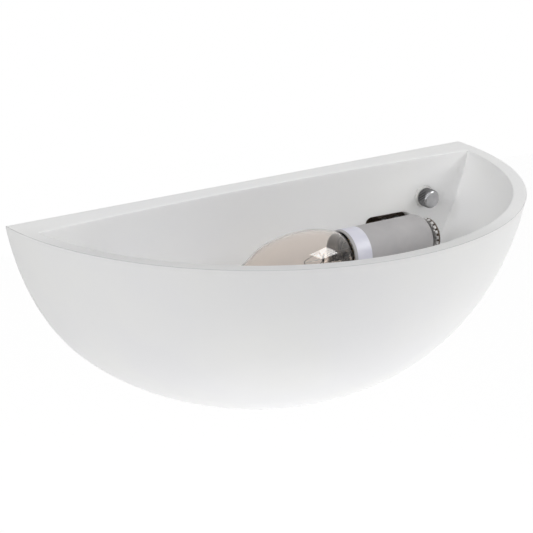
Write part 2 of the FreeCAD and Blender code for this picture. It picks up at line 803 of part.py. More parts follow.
def contact_spring():
    """The coil spring behind the contact's head, one unbroken wire."""
    start = tip_end + contact_head_thick + spring_wire / 2.0
    length = spring_end - start - spring_wire / 2.0
    mean_radius = (spring_diameter - spring_wire) / 2.0
    coil = Part.makeHelix(length / spring_turns, length, mean_radius)
    ring = Part.Wire(Part.makeCircle(spring_wire / 2.0, vec(mean_radius, 0, 0), vec(0, 1, 0)))
    spring = Part.Wire(coil).makePipeShell([ring], True, True)
    spring.rotate(vec(0, 0, 0), vec(0, 1, 0), 90.0)
    spring.translate(on_axis(start))
    return spring


def rear_ring():
    """The ring between the core's spigot and the arm, notched all round."""
    outer = ring_diameter / 2.0
    hole = nipple_diameter / 2.0
    half = ring_notch_width / 2.0
    ring = turned_on_lamp_axis([(ring_front, hole), (ring_front, outer - ring_chamfer),
                                (ring_front + ring_chamfer, outer), (arm_x, outer), (arm_x, hole)])
    for i in range(ring_notches):
        notch = block(ring_front, arm_x, -axis_out - half, -axis_out + half,
                      outer - ring_notch_depth, ring_diameter)
        notch.rotate(on_axis(0.0), vec(1, 0, 0), 360.0 * i / ring_notches)
        ring = ring.cut(notch)
    return ring


def holder_nipple():
    """The threaded tube that clamps the core to the arm and lets the leads in."""
    return tube(nipple_diameter, nipple_bore, on_axis(nipple_start), on_axis(nipple_end))


def nipple_nut():
    """The nut that clamps the nipple to the arm."""
    nut = hexagon(nipple_nut_flats, on_axis(arm_face), nipple_nut_thick, vec(1, 0, 0))
    return nut.cut(rod(nipple_diameter, on_axis(arm_face), on_axis(arm_face + nipple_nut_thick)))


def core_screws():
    """The two screws that press the terminal strips onto the leads' ends."""
    screws = []
    for side in (-1, 1):
        offset = vec(0, 0, side * core_screw_height)
        seat = on_axis(core_seat) + offset
        shank = rod(core_screw_diameter, on_axis(strip_end) + offset, seat)
        head = rod(core_screw_head, seat, seat + vec(core_screw_head_thick, 0, 0))
        screws.append(shank.fuse(head).removeSplitter())
    return Part.makeCompound(screws)


# -------------------------------------------------------------------- lamp
def glass_outline():
    """The envelope's outline from its tip to the cap's edge, as x and
    radius: a drawn-out tip, the widest part, and a shoulder that draws in
    to the neck."""
    places = [glass_tip + distance for distance in glass_distances]
    places += [lamp_cap_front - neck_flare_length, lamp_cap_front]
    radii = glass_radii + [neck_flare_radius, neck_radius]
    return list(zip(places, radii))


def outline_curve(places):
    """A smooth curve from the glass's tip, square to the axis there, to the
    neck, along the axis there."""
    curve = Part.BSplineCurve()
    curve.interpolate(Points=places, InitialTangent=vec(0, 0, 2.0), FinalTangent=vec(0.8, 0, 0))
    return curve


def lamp_glass():
    """The clear envelope. The inner outline is the outer one drawn in by
    the glass's wall, square to the surface."""
    outer = outline_curve([on_axis(x) + vec(0, 0, radius) for x, radius in glass_outline()])
    steps = 20
    inner_places = []
    for i in range(steps + 1):
        place = outer.FirstParameter + (outer.LastParameter - outer.FirstParameter) * i / steps
        along = outer.tangent(place)[0]
        inner_places.append(outer.value(place) + vec(along.z, 0, -along.x) * glass_wall)
    inner_places[0].z = 0.0
    inner = outline_curve(inner_places)
    neck_outer = on_axis(neck_end) + vec(0, 0, neck_radius)
    neck_inner = on_axis(neck_end) + vec(0, 0, neck_radius - glass_wall)
    edges = [outer.toShape(), Part.LineSegment(outer.EndPoint, neck_outer).toShape(),
             Part.LineSegment(neck_outer, neck_inner).toShape(),
             Part.LineSegment(neck_inner, inner.EndPoint).toShape(),
             inner.toShape(), Part.LineSegment(inner.StartPoint, outer.StartPoint).toShape()]
    return Part.Face(Part.Wire(edges)).revolve(on_axis(0.0), vec(1, 0, 0), 360.0)


def lamp_cap():
    """The lamp's metal cap, open at the glass and drawn in at its far end."""
    outer = lamp_cap_diameter / 2.0
    inner = outer - lamp_cap_wall
    turn = lamp_cap_shoulder
    hole = lamp_cap_end_hole / 2.0
    inside = lamp_cap_end - lamp_cap_wall
    return turned_on_lamp_axis([(lamp_cap_front, inner), (lamp_cap_front, outer),
                                (lamp_cap_end - turn, outer), (lamp_cap_end, outer - turn),
                                (lamp_cap_end, hole), (inside, hole), (inside, outer - turn),
                                (inside - turn, inner)])


def lamp_insulator():
    """The dark glass insulator between the cap and the tip contact."""
    hole = lamp_cap_end_hole / 2.0
    inside = lamp_cap_end - insulator_inside
    return turned_on_lamp_axis([(inside, 0), (inside, hole), (lamp_cap_end, hole),
                                (lamp_cap_end, insulator_diameter / 2.0),
                                (tip_seat, tip_diameter / 2.0 + tip_border), (tip_seat, 0)])


def lamp_tip_contact():
    """The solder dome at the end of the lamp."""
    radius = tip_diameter / 2.0
    return turned_on_lamp_axis([(tip_seat, 0), (tip_seat, radius),
                                (tip_seat + 0.6 * tip_thick, 0.85 * radius),
                                (tip_end, 0.45 * radius), (tip_end, 0)])


def lamp_stem():
    """The glass stem: a flare that closes the neck, a waist and a flat pinch."""
    flare = neck_radius - glass_wall - stem_fit
    waist = stem_waist / 2.0
    pinch_end = stem_end + stem_pinch
    neck = turned_on_lamp_axis([(neck_end, 0), (neck_end, flare), (neck_end - 1.0, flare),
                                (neck_end - 7.0, waist + 0.6), (pinch_end, waist), (pinch_end, 0)])
    half = stem_pinch_thick / 2.0
    pinch = block(stem_end, pinch_end, -axis_out - half, -axis_out + half, -waist, waist)
    return neck.fuse(pinch).removeSplitter()


def lamp_lead_wires():
    """The two wires that carry the filament's ends."""
    wires = []
    for side in (-1, 1):
        corners = [on_axis(stem_end) + vec(0, 0, side * lead_wire_root),
                   on_axis(stem_end - lead_wire_straight) + vec(0, 0, side * lead_wire_root),
                   on_axis(filament_x) + vec(0, 0, side * lead_wire_reach)]
        wires.append(bent_rod(lead_wire, corners, [1.5]))
    return Part.makeCompound(wires)


def lamp_filament():
    """The filament as one thin loop between the lead wires' ends."""
    start = filament_x - lead_wire / 2.0 - filament_gap
    loop = filament_x - filament_loop
    inner = filament_fold / 2.0
    corners = [on_axis(start) + vec(0, 0, -lead_wire_reach), on_axis(loop) + vec(0, 0, -inner),
               on_axis(loop) + vec(0, 0, inner), on_axis(start) + vec(0, 0, lead_wire_reach)]
    return bent_rod(filament_diameter, corners, [1.2, 1.2])


def lamp_support():
    """The wire from the stem that steadies the filament's loop."""
    reach = filament_x - filament_loop + filament_diameter / 2.0 + filament_gap
    return rod(support_wire, on_axis(stem_end), on_axis(reach))


# ------------------------------------------------------------- all the pieces
def pieces():
    """Every piece by its name."""
    live_x, neutral_x = pole_places
    return {
        "plaster_bowl": plaster_bowl(),
        "wall_plate": wall_plate(),
        "right_stud": stud(stud_x),
        "left_stud": stud(-stud_x),
        "stud_lock_nuts": stud_lock_nuts(),
        "right_washer": washer(stud_x),
        "left_washer": washer(-stud_x),
        "right_thumb_nut": thumb_nut(stud_x),
        "left_thumb_nut": thumb_nut(-stud_x),
        "cable_bush": cable_bush(),
        "earth_stud": earth_stud(),
        "earth_washer": earth_washer(),
        "earth_nut": earth_nut(),
        "lampholder_arm": lampholder_arm(),
        "arm_rivets": arm_rivets(),
        "terminal_block": terminal_block(),
        "block_clamps": block_clamps(),
        "block_screws": block_screws(),
        "block_fixing_screw": block_fixing_screw(),
        "live_lead": lead(live_x, -1, live_rise_end),
        "neutral_lead": lead(neutral_x, 1, neutral_rise_end),
        "holder_sleeve": holder_sleeve(),
        "sleeve_band": sleeve_band(),
        "holder_core": holder_core(),
        "thread_shell": thread_shell(),
        "neutral_strip": neutral_strip(),
        "live_strip": live_strip(),
        "centre_contact": centre_contact(),
        "contact_spring": contact_spring(),
        "rear_ring": rear_ring(),
        "holder_nipple": holder_nipple(),
        "nipple_nut": nipple_nut(),
        "core_screws": core_screws(),
        "lamp_glass": lamp_glass(),
        "lamp_cap": lamp_cap(),
        "lamp_insulator": lamp_insulator(),
        "lamp_tip_contact": lamp_tip_contact(),
        "lamp_stem": lamp_stem(),
        "lamp_lead_wires": lamp_lead_wires(),
        "lamp_filament": lamp_filament(),
        "lamp_support": lamp_support(),
    }


os.makedirs("parts", exist_ok=True)
for name, shape in pieces().items():
    shape.exportStep("parts/" + name + ".step")
    print(name, len(shape.Solids), "solid,", round(shape.Volume, 2), "mm3, valid", shape.isValid())
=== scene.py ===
# %% [markdown]
# # A half-round plaster wall light
#
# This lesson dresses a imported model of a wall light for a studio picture. The
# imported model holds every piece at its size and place: a plaster bowl on a steel
# wall plate, and a candle lamp that lies across it in a holder. What is left is
# how each surface looks, and the forms that a plain solid lacks, such as blown
# glass, screw threads and softened edges.
#
# All lengths are in metres. The wall is the plane y = 0, the room is towards -y,
# and z is up.

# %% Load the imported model
import json
import math

import bmesh
import bpy
import numpy as np
from mathutils import Matrix, Vector

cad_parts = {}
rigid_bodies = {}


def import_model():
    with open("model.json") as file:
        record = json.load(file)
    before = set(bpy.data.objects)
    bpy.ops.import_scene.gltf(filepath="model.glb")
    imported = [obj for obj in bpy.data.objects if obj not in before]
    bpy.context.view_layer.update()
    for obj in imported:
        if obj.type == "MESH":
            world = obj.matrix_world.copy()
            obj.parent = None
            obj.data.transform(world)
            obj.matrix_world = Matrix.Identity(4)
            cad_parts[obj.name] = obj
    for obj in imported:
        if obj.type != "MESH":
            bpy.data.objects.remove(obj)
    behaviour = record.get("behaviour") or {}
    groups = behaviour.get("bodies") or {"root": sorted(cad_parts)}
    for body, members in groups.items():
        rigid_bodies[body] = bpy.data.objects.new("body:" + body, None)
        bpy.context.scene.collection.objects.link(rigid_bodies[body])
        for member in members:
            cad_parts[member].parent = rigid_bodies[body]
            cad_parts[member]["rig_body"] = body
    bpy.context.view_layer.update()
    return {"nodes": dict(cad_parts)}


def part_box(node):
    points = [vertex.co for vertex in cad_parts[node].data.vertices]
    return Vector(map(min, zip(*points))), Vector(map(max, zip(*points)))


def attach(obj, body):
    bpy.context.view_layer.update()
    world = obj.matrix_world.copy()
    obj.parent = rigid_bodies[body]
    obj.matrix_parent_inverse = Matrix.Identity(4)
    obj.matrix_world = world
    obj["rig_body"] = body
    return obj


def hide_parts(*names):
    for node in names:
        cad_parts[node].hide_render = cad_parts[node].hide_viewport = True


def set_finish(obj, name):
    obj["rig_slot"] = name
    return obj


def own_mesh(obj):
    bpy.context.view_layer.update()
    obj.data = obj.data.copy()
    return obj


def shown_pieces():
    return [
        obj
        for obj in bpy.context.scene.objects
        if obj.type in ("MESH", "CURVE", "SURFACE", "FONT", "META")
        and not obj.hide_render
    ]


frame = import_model()
MM = 0.001

# %% [markdown]
# ## The camera
#
# The photograph was taken with a long lens from the left, a little above the
# rim. The camera's place, direction and lens come from fitting the photographed
# rim, outline and corners with the bowl at its modelled size. The lens in
# millimetres is the focal length in pixels, over 533 pixels, times a 36 mm wide
# sensor.

# %% Place the camera
camera_place = Vector((-0.515284, -0.777412, 0.304324))
camera_forward = Vector((0.52988914, 0.78292126, -0.32596287))
camera_right = Vector((0.82815284, -0.56050234, 0.0))
focal_pixels = 1745.19
picture_pixels = 533
sensor_width = 36.0

camera_data = bpy.data.cameras.new("camera")
camera_data.sensor_width = sensor_width
camera_data.lens = focal_pixels / picture_pixels * sensor_width
camera_data.clip_start = 0.01
camera = bpy.data.objects.new("camera", camera_data)
camera_up = camera_right.cross(camera_forward)
axes = Matrix((camera_right, camera_up, -camera_forward)).transposed()
camera.matrix_world = Matrix.Translation(camera_place) @ axes.to_4x4()
bpy.context.scene.collection.objects.link(camera)
bpy.context.scene.camera = camera
print("lens", round(camera_data.lens, 2), "mm")

# %% [markdown]
# ## Surfaces from arrays
#
# Nearly every new piece is a grid of points, a function of two parameters. One
# helper turns grids into a mesh and merges the points that they share, so that
# the piece is closed. Faces that have shrunk to nothing at a pole are dropped.

# %% Make a mesh from grids of points
SHARP = math.radians(32)


def grid_faces(rows, columns, start):
    """Quads between neighbouring points of a grid whose first point has the
    index start: corner (i, j) goes to (i, j+1), (i+1, j+1) and (i+1, j)."""
    index = start + np.arange(rows * columns).reshape(rows, columns)
    corners = [index[:-1, :-1], index[:-1, 1:], index[1:, 1:], index[1:, :-1]]
    return np.stack(corners, axis=-1).reshape(-1, 4)


def surface(name, grids):
    """One closed mesh object from grids of shape (rows, columns, 3)."""
    points, faces, start = [], [], 0
    for grid in grids:
        rows, columns = grid.shape[:2]
        points.append(grid.reshape(-1, 3))
        faces.append(grid_faces(rows, columns, start))
        start += rows * columns
    mesh = bpy.data.meshes.new(name)
    mesh.from_pydata(np.concatenate(points).tolist(), [], np.concatenate(faces).tolist())
    seal(mesh)
    obj = bpy.data.objects.new(name, mesh)
    bpy.context.scene.collection.objects.link(obj)
    print(name, "has", len(mesh.polygons), "faces")
    return obj


def seal(mesh, distance=2e-6):
    """Merges doubled points, drops faces of no area and turns the faces
    outwards, then shades the mesh smooth but for its sharp edges."""
    work = bmesh.new()
    work.from_mesh(mesh)
    bmesh.ops.remove_doubles(work, verts=work.verts, dist=distance)
    bmesh.ops.dissolve_degenerate(work, edges=work.edges, dist=distance)
    bmesh.ops.recalc_face_normals(work, faces=work.faces)
    work.to_mesh(mesh)
    work.free()
    mesh.shade_smooth()
    mesh.set_sharp_from_angle(angle=SHARP)


# %% [markdown]
# ## Turned pieces
#
# The holder, the nut and the glass are turned. A turned piece is a profile, a
# list of distances along an axis with radii, carried round that axis. Real edges
# are never quite sharp, and a small rounding catches the light, so one helper
# rounds every corner of a profile. A thread or a knurl is a ripple: how far each
# point is lowered, which also depends on the angle.

# %% Round a profile and turn it
def soften(profile, radius, steps=5):
    """Replaces each corner P of an open profile by an arc. Its ends A and B
    lie the radius away from P, or 0.45 of the shorter side if that is less,
    and its points are (1-t)^2 A + 2t(1-t) P + t^2 B."""
    profile = np.asarray(profile, float)
    corner = profile[1:-1]
    before = profile[:-2] - corner
    after = profile[2:] - corner
    length_before = np.linalg.norm(before, axis=1, keepdims=True)
    length_after = np.linalg.norm(after, axis=1, keepdims=True)
    reach = np.minimum(radius, 0.45 * np.minimum(length_before, length_after))
    first = (corner + before / length_before * reach)[:, None]
    last = (corner + after / length_after * reach)[:, None]
    t = np.linspace(0.0, 1.0, steps)[None, :, None]
    arcs = (1 - t) ** 2 * first + 2 * t * (1 - t) * corner[:, None] + t ** 2 * last
    return np.concatenate([profile[:1], arcs.reshape(-1, 2), profile[-1:]])


def fine(profile, step):
    """The profile with more points, about a step apart."""
    length = np.linalg.norm(np.diff(profile, axis=0), axis=1)
    counts = np.maximum(1, np.ceil(length / step).astype(int))
    start = np.repeat(np.arange(len(length)), counts)
    first = np.repeat(np.cumsum(counts) - counts, counts)
    share = (np.arange(counts.sum()) - first) / counts[start]
    points = profile[start] + share[:, None] * (profile[start + 1] - profile[start])
    return np.concatenate([points, profile[-1:]])


NO_RIPPLE = np.zeros((1, 129))


def turn(profile, ripple, origin, along, aside):
    """The grid of a profile of (distance, radius) carried round an axis:
    origin + distance * along + (radius - ripple) * (cos a * aside + sin a *
    third). The ripple has a row for each point and a column for each angle."""
    along, aside = np.asarray(along, float), np.asarray(aside, float)
    third = np.cross(along, aside)
    angle = np.linspace(0.0, 2 * np.pi, ripple.shape[1])
    ring = np.cos(angle)[:, None] * aside + np.sin(angle)[:, None] * third
    radius = profile[:, 1][:, None] - ripple
    distance = profile[:, 0][:, None, None] * along
    return np.asarray(origin) + distance + radius[:, :, None] * ring[None]


def closed(profile):
    """The profile with its first point again at its end."""
    return np.concatenate([profile, profile[:1]])


# %% [markdown]
# ## The bowl's form
#
# The bowl is one plaster casting. Its outline is a superellipse: fuller than an
# ellipse, and cut off by the rim before it gets to its widest. The same curve, a
# wall's thickness smaller, is the hollow, and the back wall closes it with a
# face that is a little thicker at its ends than in its middle. Each face is one
# grid, and they share their border points.

# %% Work out the bowl's faces
bowl_low, bowl_high = np.array(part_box("plaster_bowl"))
rim_z = bowl_high[2]
half_width = bowl_high[0]
bowl_depth = -bowl_low[1]
bowl_height = rim_z - bowl_low[2]
rim_wall = 7.5 * MM
floor_wall = 6.0 * MM
widest_above_rim = 46.0 * MM
belly_power = 2.288
back_wall_middle = 13.2 * MM
back_wall_ends = 19.6 * MM


def belly(rim_radius, low_point, last, rows):
    """Heights and radii down a bowl's wall. With t from the rim to last,
    z = widest level - deepest * sin(t)^(2/p) and r = widest * cos(t)^(2/p)."""
    deepest = widest_above_rim + low_point
    first = math.asin((widest_above_rim / deepest) ** (belly_power / 2))
    widest = rim_radius / math.cos(first) ** (2 / belly_power)
    if last is not None:
        last = math.acos((last / widest) ** (belly_power / 2))
    t = np.linspace(first, math.pi / 2 if last is None else last, rows)
    z = rim_z + widest_above_rim - deepest * np.sin(t) ** (2 / belly_power)
    return z, widest * np.clip(np.cos(t), 0, 1) ** (2 / belly_power)


def bowl_grids(around=144, down=72):
    """The outer wall, the hollow, both faces of the back wall and the two
    halves of the rim. The hollow's wall meets the back wall where
    depth * sin(a) = middle + (r cos(a))^2 / (2 bulge), a quadratic in
    sin(a)."""
    share = np.linspace(0.0, 1.0, around + 1)
    z, radius = belly(half_width, bowl_height, None, down)
    angle = np.pi * share
    deepening = bowl_depth / half_width
    height = np.broadcast_to(z[:, None], (down, around + 1))
    outer = np.stack([radius[:, None] * np.cos(angle),
                      -radius[:, None] * deepening * np.sin(angle), height], axis=-1)
    level = 0.5 - 0.5 * np.cos(angle)
    back_x = radius[:, None] * (1 - 2 * level)
    back = np.stack([back_x, 0 * back_x, height], axis=-1)

    inner_radius = half_width - rim_wall
    deepening = (bowl_depth - rim_wall) / inner_radius
    bulge = inner_radius ** 2 / (2 * (back_wall_ends - back_wall_middle))
    z, radius = belly(inner_radius, bowl_height - floor_wall,
                      back_wall_middle / deepening, down)
    square = radius ** 2 / (2 * bulge)
    constant = back_wall_middle + square
    line = radius * deepening
    sine = 2 * constant / (line + np.sqrt(line ** 2 + 4 * square * constant))
    start = np.arcsin(np.clip(sine, 0, 1))[:, None]
    angle = start + (np.pi - 2 * start) * share
    height = np.broadcast_to(z[:, None], angle.shape)
    inner = np.stack([radius[:, None] * np.cos(angle),
                      -line[:, None] * np.sin(angle), height], axis=-1)
    wall_x = (radius[:, None] * np.cos(start)) * (1 - 2 * level)
    wall = np.stack([wall_x, -back_wall_middle - wall_x ** 2 / (2 * bulge), height], axis=-1)
    wall[:, 0], wall[:, -1] = inner[:, 0], inner[:, -1]

    across = np.linspace(0.0, 1.0, 5)[:, None, None]
    rim_front = outer[:1] * (1 - across) + inner[:1] * across
    rim_back = back[:1] * (1 - across) + wall[:1] * across
    return [outer, inner, back, wall, rim_front, rim_back]


bowl = surface("bowl_casting", bowl_grids())

# %% [markdown]
# ## Cutting the bowl
#
# The bowl has a recess for the wall plate, a window for the wiring and two holes
# with sunk seats for the washers. A boolean modifier cuts each one with a closed
# prism. A small bevel then softens the edges, because a plaster edge is never
# sharp. It takes only the edges with a weight, since bevelling the poles of a
# turned form would crumple them.

# %% Prisms that cut
def rounded_outline(low, high, radii, steps=9):
    """A closed outline in (x, z): round each corner centre c, c + r (cos a,
    sin a) over a quarter turn. radii are the radii of the corners at lower
    left, lower right, top right and top left."""
    radii = np.array(radii, float)[:, None]
    inward = np.array([[1, 1], [-1, 1], [-1, -1], [1, -1]])
    corner = np.array([[low[0], low[1]], [high[0], low[1]],
                       [high[0], high[1]], [low[0], high[1]]])
    centre = corner + inward * radii
    angle = np.pi + np.pi / 2 * (np.arange(4)[:, None] + np.linspace(0, 1, steps)[None])
    arc = np.stack([np.cos(angle), np.sin(angle)], axis=-1)
    return (centre[:, None] + radii[:, None] * arc).reshape(-1, 2)


def circle_outline(x, z, radius, steps=64):
    """A closed outline: (x + r cos a, z + r sin a)."""
    angle = np.linspace(0, 2 * np.pi, steps, endpoint=False)
    return np.stack([x + radius * np.cos(angle), z + radius * np.sin(angle)], axis=-1)


def prism_grid(outline, y0, y1):
    """An outline carried from y0 to y1, with each end drawn in to its
    middle: four rows of the closed outline."""
    ring = closed(outline)
    middle = np.broadcast_to(outline.mean(0), ring.shape)
    rows = [(middle, y0), (ring, y0), (ring, y1), (middle, y1)]
    return np.stack([np.stack([row[:, 0], np.full(len(row), y), row[:, 1]], axis=-1)
                     for row, y in rows])


def bake(obj):
    """Stores what the object's modifiers make as its own mesh."""
    shape = obj.evaluated_get(bpy.context.evaluated_depsgraph_get())
    mesh = bpy.data.meshes.new_from_object(shape)
    obj.modifiers.clear()
    obj.data = mesh
    return mesh


def cut(obj, outline, y0, y1):
    """Takes the prism of an outline out of the object."""
    tool = surface("cutter", [prism_grid(outline, y0, y1)])
    modifier = obj.modifiers.new("cut", "BOOLEAN")
    modifier.object = tool
    modifier.solver = "EXACT"
    bpy.context.view_layer.update()
    bake(obj)
    bpy.data.objects.remove(tool)


# %% Cut the recess, the window and the washers' seats
plate_low, plate_high = np.array(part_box("wall_plate"))
washer_low, washer_high = np.array(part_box("right_washer"))
stud_low, stud_high = np.array(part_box("right_stud"))
arm_low = np.array(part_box("lampholder_arm"))[0]
block_low, block_high = np.array(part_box("terminal_block"))

past_wall = 1 * MM
through_wall = -2 * back_wall_ends
recess_depth = 8.0 * MM
recess_spare = np.array([3.0, 2.0]) * MM
recess_corner = 6 * MM
recess = rounded_outline(plate_low[[0, 2]] - recess_spare,
                         plate_high[[0, 2]] + recess_spare, [recess_corner] * 4)
left_of_arm = 14.5 * MM
right_of_block = 1.2 * MM
below_block = 1.5 * MM
window_top = 2.6 * MM
window_corner, window_wide_corner = 4 * MM, 12 * MM
window_low = np.array([arm_low[0] - left_of_arm, block_low[2] - below_block])
window_high = np.array([block_high[0] + right_of_block, window_top])
window = rounded_outline(window_low, window_high,
                         [window_corner, window_corner, window_wide_corner, window_corner])
cut(bowl, window, past_wall, through_wall)
cut(bowl, recess, past_wall, -recess_depth)

stud_x, stud_z = (stud_low[0] + stud_high[0]) / 2, (stud_low[2] + stud_high[2]) / 2
seat_spare, hole_spare = 0.3 * MM, 0.5 * MM
seat_radius = (washer_high[0] - washer_low[0]) / 2 + seat_spare
hole_radius = (stud_high[0] - stud_low[0]) / 2 + hole_spare
for x in (-stud_x, stud_x):
    cut(bowl, circle_outline(x, stud_z, seat_radius), washer_high[1], through_wall)
    cut(bowl, circle_outline(x, stud_z, hole_radius), past_wall, through_wall)
print("the cut bowl has", len(bowl.data.polygons), "faces")


# %% Soften the edges
def soften_edges(obj, width, steps, lowest, angle=math.radians(40)):
    """Rounds the edges above a height whose two faces meet at more than
    the angle: a bevel weight of one on each of those edges."""
    work = bmesh.new()
    work.from_mesh(obj.data)
    weight = work.edges.layers.float.new("bevel_weight_edge")
    chosen = [edge for edge in work.edges
              if edge.is_manifold and edge.calc_face_angle(0) > angle
              and min(corner.co.z for corner in edge.verts) > lowest]
    for edge in chosen:
        edge[weight] = 1.0
    work.to_mesh(obj.data)
    work.free()
    bevel = obj.modifiers.new("softened edges", "BEVEL")
    bevel.limit_method = "WEIGHT"
    bevel.width = width
    bevel.segments = steps
    bevel.use_clamp_overlap = False
    bpy.context.view_layer.update()
    mesh = bake(obj)
    mesh.shade_smooth()
    mesh.set_sharp_from_angle(angle=SHARP)
    print(obj.name, "has", len(chosen), "softened edges and", len(mesh.polygons), "faces")


plaster_edge = 0.45 * MM
above_pole = 12 * MM
soften_edges(bowl, plaster_edge, 3, bowl_low[2] + above_pole)
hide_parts("plaster_bowl")
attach(bowl, "fitting")
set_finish(bowl, "plaster")

# %% [markdown]
# ## Finishes
#
# Every finish starts as one Principled shader with plain values on its sockets.
# What varies over the surface is added as a noise: a mottle for the colour, a
# grain for the relief, and patches for the roughness. All of them read object
# coordinates, so that a size in the code is a size on the piece.

# %% A plain finish and three kinds of unevenness
def shade(red, green, blue):
    """A screen colour of 0 to 255 as linear values: ((c + 0.055) / 1.055)^2.4,
    or c / 12.92 where c is dark."""
    value = np.array([red, green, blue]) / 255.0
    linear = np.where(value > 0.04045, ((value + 0.055) / 1.055) ** 2.4, value / 12.92)
    return (*linear.tolist(), 1.0)


def add(tree, kind, *inputs, operation=None, **named):
    """A new node of a kind. Its inputs are given in their order or by name,
    From_Min for From Min, each as a value or as the socket it is linked to."""
    node = tree.nodes.new(kind)
    if operation:
        node.operation = operation
    for key, value in [*enumerate(inputs), *named.items()]:
        socket = node.inputs[key if isinstance(key, int) else key.replace("_", " ")]
        if isinstance(value, bpy.types.NodeSocket):
            tree.links.new(value, socket)
        else:
            socket.default_value = value
    return node


def combined(tree, operation, values):
    """One value from several, such as their product or their maximum."""
    total = values[0]
    for value in values[1:]:
        total = add(tree, "ShaderNodeMath", total, value, operation=operation).outputs["Value"]
    return total


def map_range(tree, source, start, end, low=0.0, high=1.0):
    """A value that goes from low to high as the source goes from start to
    end, and no further."""
    return add(tree, "ShaderNodeMapRange", Value=source, From_Min=start, From_Max=end,
               To_Min=low, To_Max=high).outputs["Result"]


def part_of(tree, source, axis):
    """The X, Y or Z of a vector."""
    return add(tree, "ShaderNodeSeparateXYZ", Vector=source).outputs[axis]


def finish(name, colour, roughness, metallic=0.0, **sockets):
    """A material with these constant values on its shader's sockets. A name
    such as coat_weight stands for the socket Coat Weight."""
    material = bpy.data.materials.new(name)
    material.use_nodes = True
    shader = material.node_tree.nodes["Principled BSDF"]
    shader.inputs["Base Color"].default_value = colour
    shader.inputs["Roughness"].default_value = roughness
    shader.inputs["Metallic"].default_value = metallic
    for socket, value in sockets.items():
        shader.inputs[socket.replace("_", " ").title().replace("Ior", "IOR")].default_value = value
    return material


def shader_input(material, name):
    """The input of this name on the material's shader."""
    return material.node_tree.nodes["Principled BSDF"].inputs[name]


def noise(tree, size, detail=3.0):
    """A noise whose blotches are about this size in metres."""
    place = add(tree, "ShaderNodeTexCoord").outputs["Object"]
    return add(tree, "ShaderNodeTexNoise", Vector=place, Scale=1.0 / size,
               Detail=detail).outputs["Fac"]


def ramp(tree, source, *stops):
    """Colours that follow the source between two (position, colour) stops."""
    node = add(tree, "ShaderNodeValToRGB", Fac=source)
    for element, (position, colour) in zip(node.color_ramp.elements, stops):
        element.position, element.color = position, colour
    return node.outputs["Color"]


def mottle(material, dark, light, size, detail=3.0):
    """Colour that wanders between two shades."""
    tree = material.node_tree
    colour = ramp(tree, noise(tree, size, detail), (0.35, dark), (0.65, light))
    tree.links.new(colour, shader_input(material, "Base Color"))


def patch_roughness(material, low, high, size):
    """Roughness that wanders between two values."""
    tree = material.node_tree
    spread = map_range(tree, noise(tree, size), 0.3, 0.7, low, high)
    tree.links.new(spread, shader_input(material, "Roughness"))


def grain(material, size, height):
    """Relief of about this height in metres, on top of any other relief."""
    tree, normal = material.node_tree, shader_input(material, "Normal")
    bump = add(tree, "ShaderNodeBump", Strength=1.0, Distance=height, Height=noise(tree, size))
    if normal.is_linked:
        tree.links.new(normal.links[0].from_socket, bump.inputs["Normal"])
    tree.links.new(bump.outputs["Normal"], normal)


# %% [markdown]
# ## Plaster
#
# The casting is white and sealed: dull, with a faint sheen. Seen close, its
# white drifts a little in wide clouds, and the surface has a fine sanded grain
# over very shallow waves left by the mould. The rim is darker in the photograph,
# because of how the light falls on it, and here painted shade makes its colour a little darker.

# %% The bowl's finish
plaster = finish("plaster", shade(249, 249, 249), 0.6, specular_ior_level=0.35)
mottle(plaster, shade(247, 247, 248), shade(251, 251, 250), 60 * MM, detail=4.0)
patch_roughness(plaster, 0.52, 0.68, 25 * MM)
grain(plaster, 18 * MM, 0.02 * MM)
grain(plaster, 0.7 * MM, 0.006 * MM)


def scale_colour(material, masks, keep):
    """Scales the colour by 1 - (1 - keep) * product of the masks."""
    tree, base = material.node_tree, shader_input(material, "Base Color")
    share = map_range(tree, combined(tree, "MULTIPLY", masks), 0.0, 1.0, 1.0, keep)
    scale = add(tree, "ShaderNodeVectorMath", operation="SCALE",
                Vector=base.links[0].from_socket, Scale=share)
    tree.links.new(scale.outputs["Vector"], base)


def painted_rim_shade(material, level, edge_keep=0.66, front_keep=0.8):
    """Paints shade into the rim's colour above a level, to the brightness in the
    photograph. One mask is its outer edge, where the surface leans between level
    and upright and faces away from the bowl's middle. The other is the flat of
    the rim towards the room."""
    tree = material.node_tree
    coordinates = add(tree, "ShaderNodeTexCoord").outputs
    place, normal = coordinates["Object"], coordinates["Normal"]
    upward = part_of(tree, normal, "Z")
    outward = add(tree, "ShaderNodeVectorMath", place, normal, operation="DOT_PRODUCT")
    frontward = add(tree, "ShaderNodeVectorMath", place, (0.5, 0.87, 0.0),
                    operation="DOT_PRODUCT")
    high = map_range(tree, part_of(tree, place, "Z"), level - 0.1 * MM, level)
    edge = [high, map_range(tree, upward, 0.12, 0.3), map_range(tree, upward, 0.985, 0.94),
            map_range(tree, outward.outputs["Value"], 50 * MM, 60 * MM)]
    front = [high, map_range(tree, upward, 0.3, 0.9),
             map_range(tree, frontward.outputs["Value"], -75 * MM, -120 * MM)]
    scale_colour(material, edge, edge_keep)
    scale_colour(material, front, front_keep)


# Painted shade on the rim: its outer edge and its flat towards the room are made darker.
rim_depth = 1.5 * MM
painted_rim_shade(plaster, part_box("plaster_bowl")[1][2] - rim_depth)

# %% [markdown]
# ## The clear candle lamp
#
# The envelope is blown glass: a drawn-out tip, a belly, and a shoulder that
# draws in to the neck, which sits in the metal cap. A smooth curve through a few
# points gives its outline, and the inner surface lies one wall's thickness
# inside it. Both matter, because light bends at each of them, and that makes the
# bright lines along a bulb's edge.

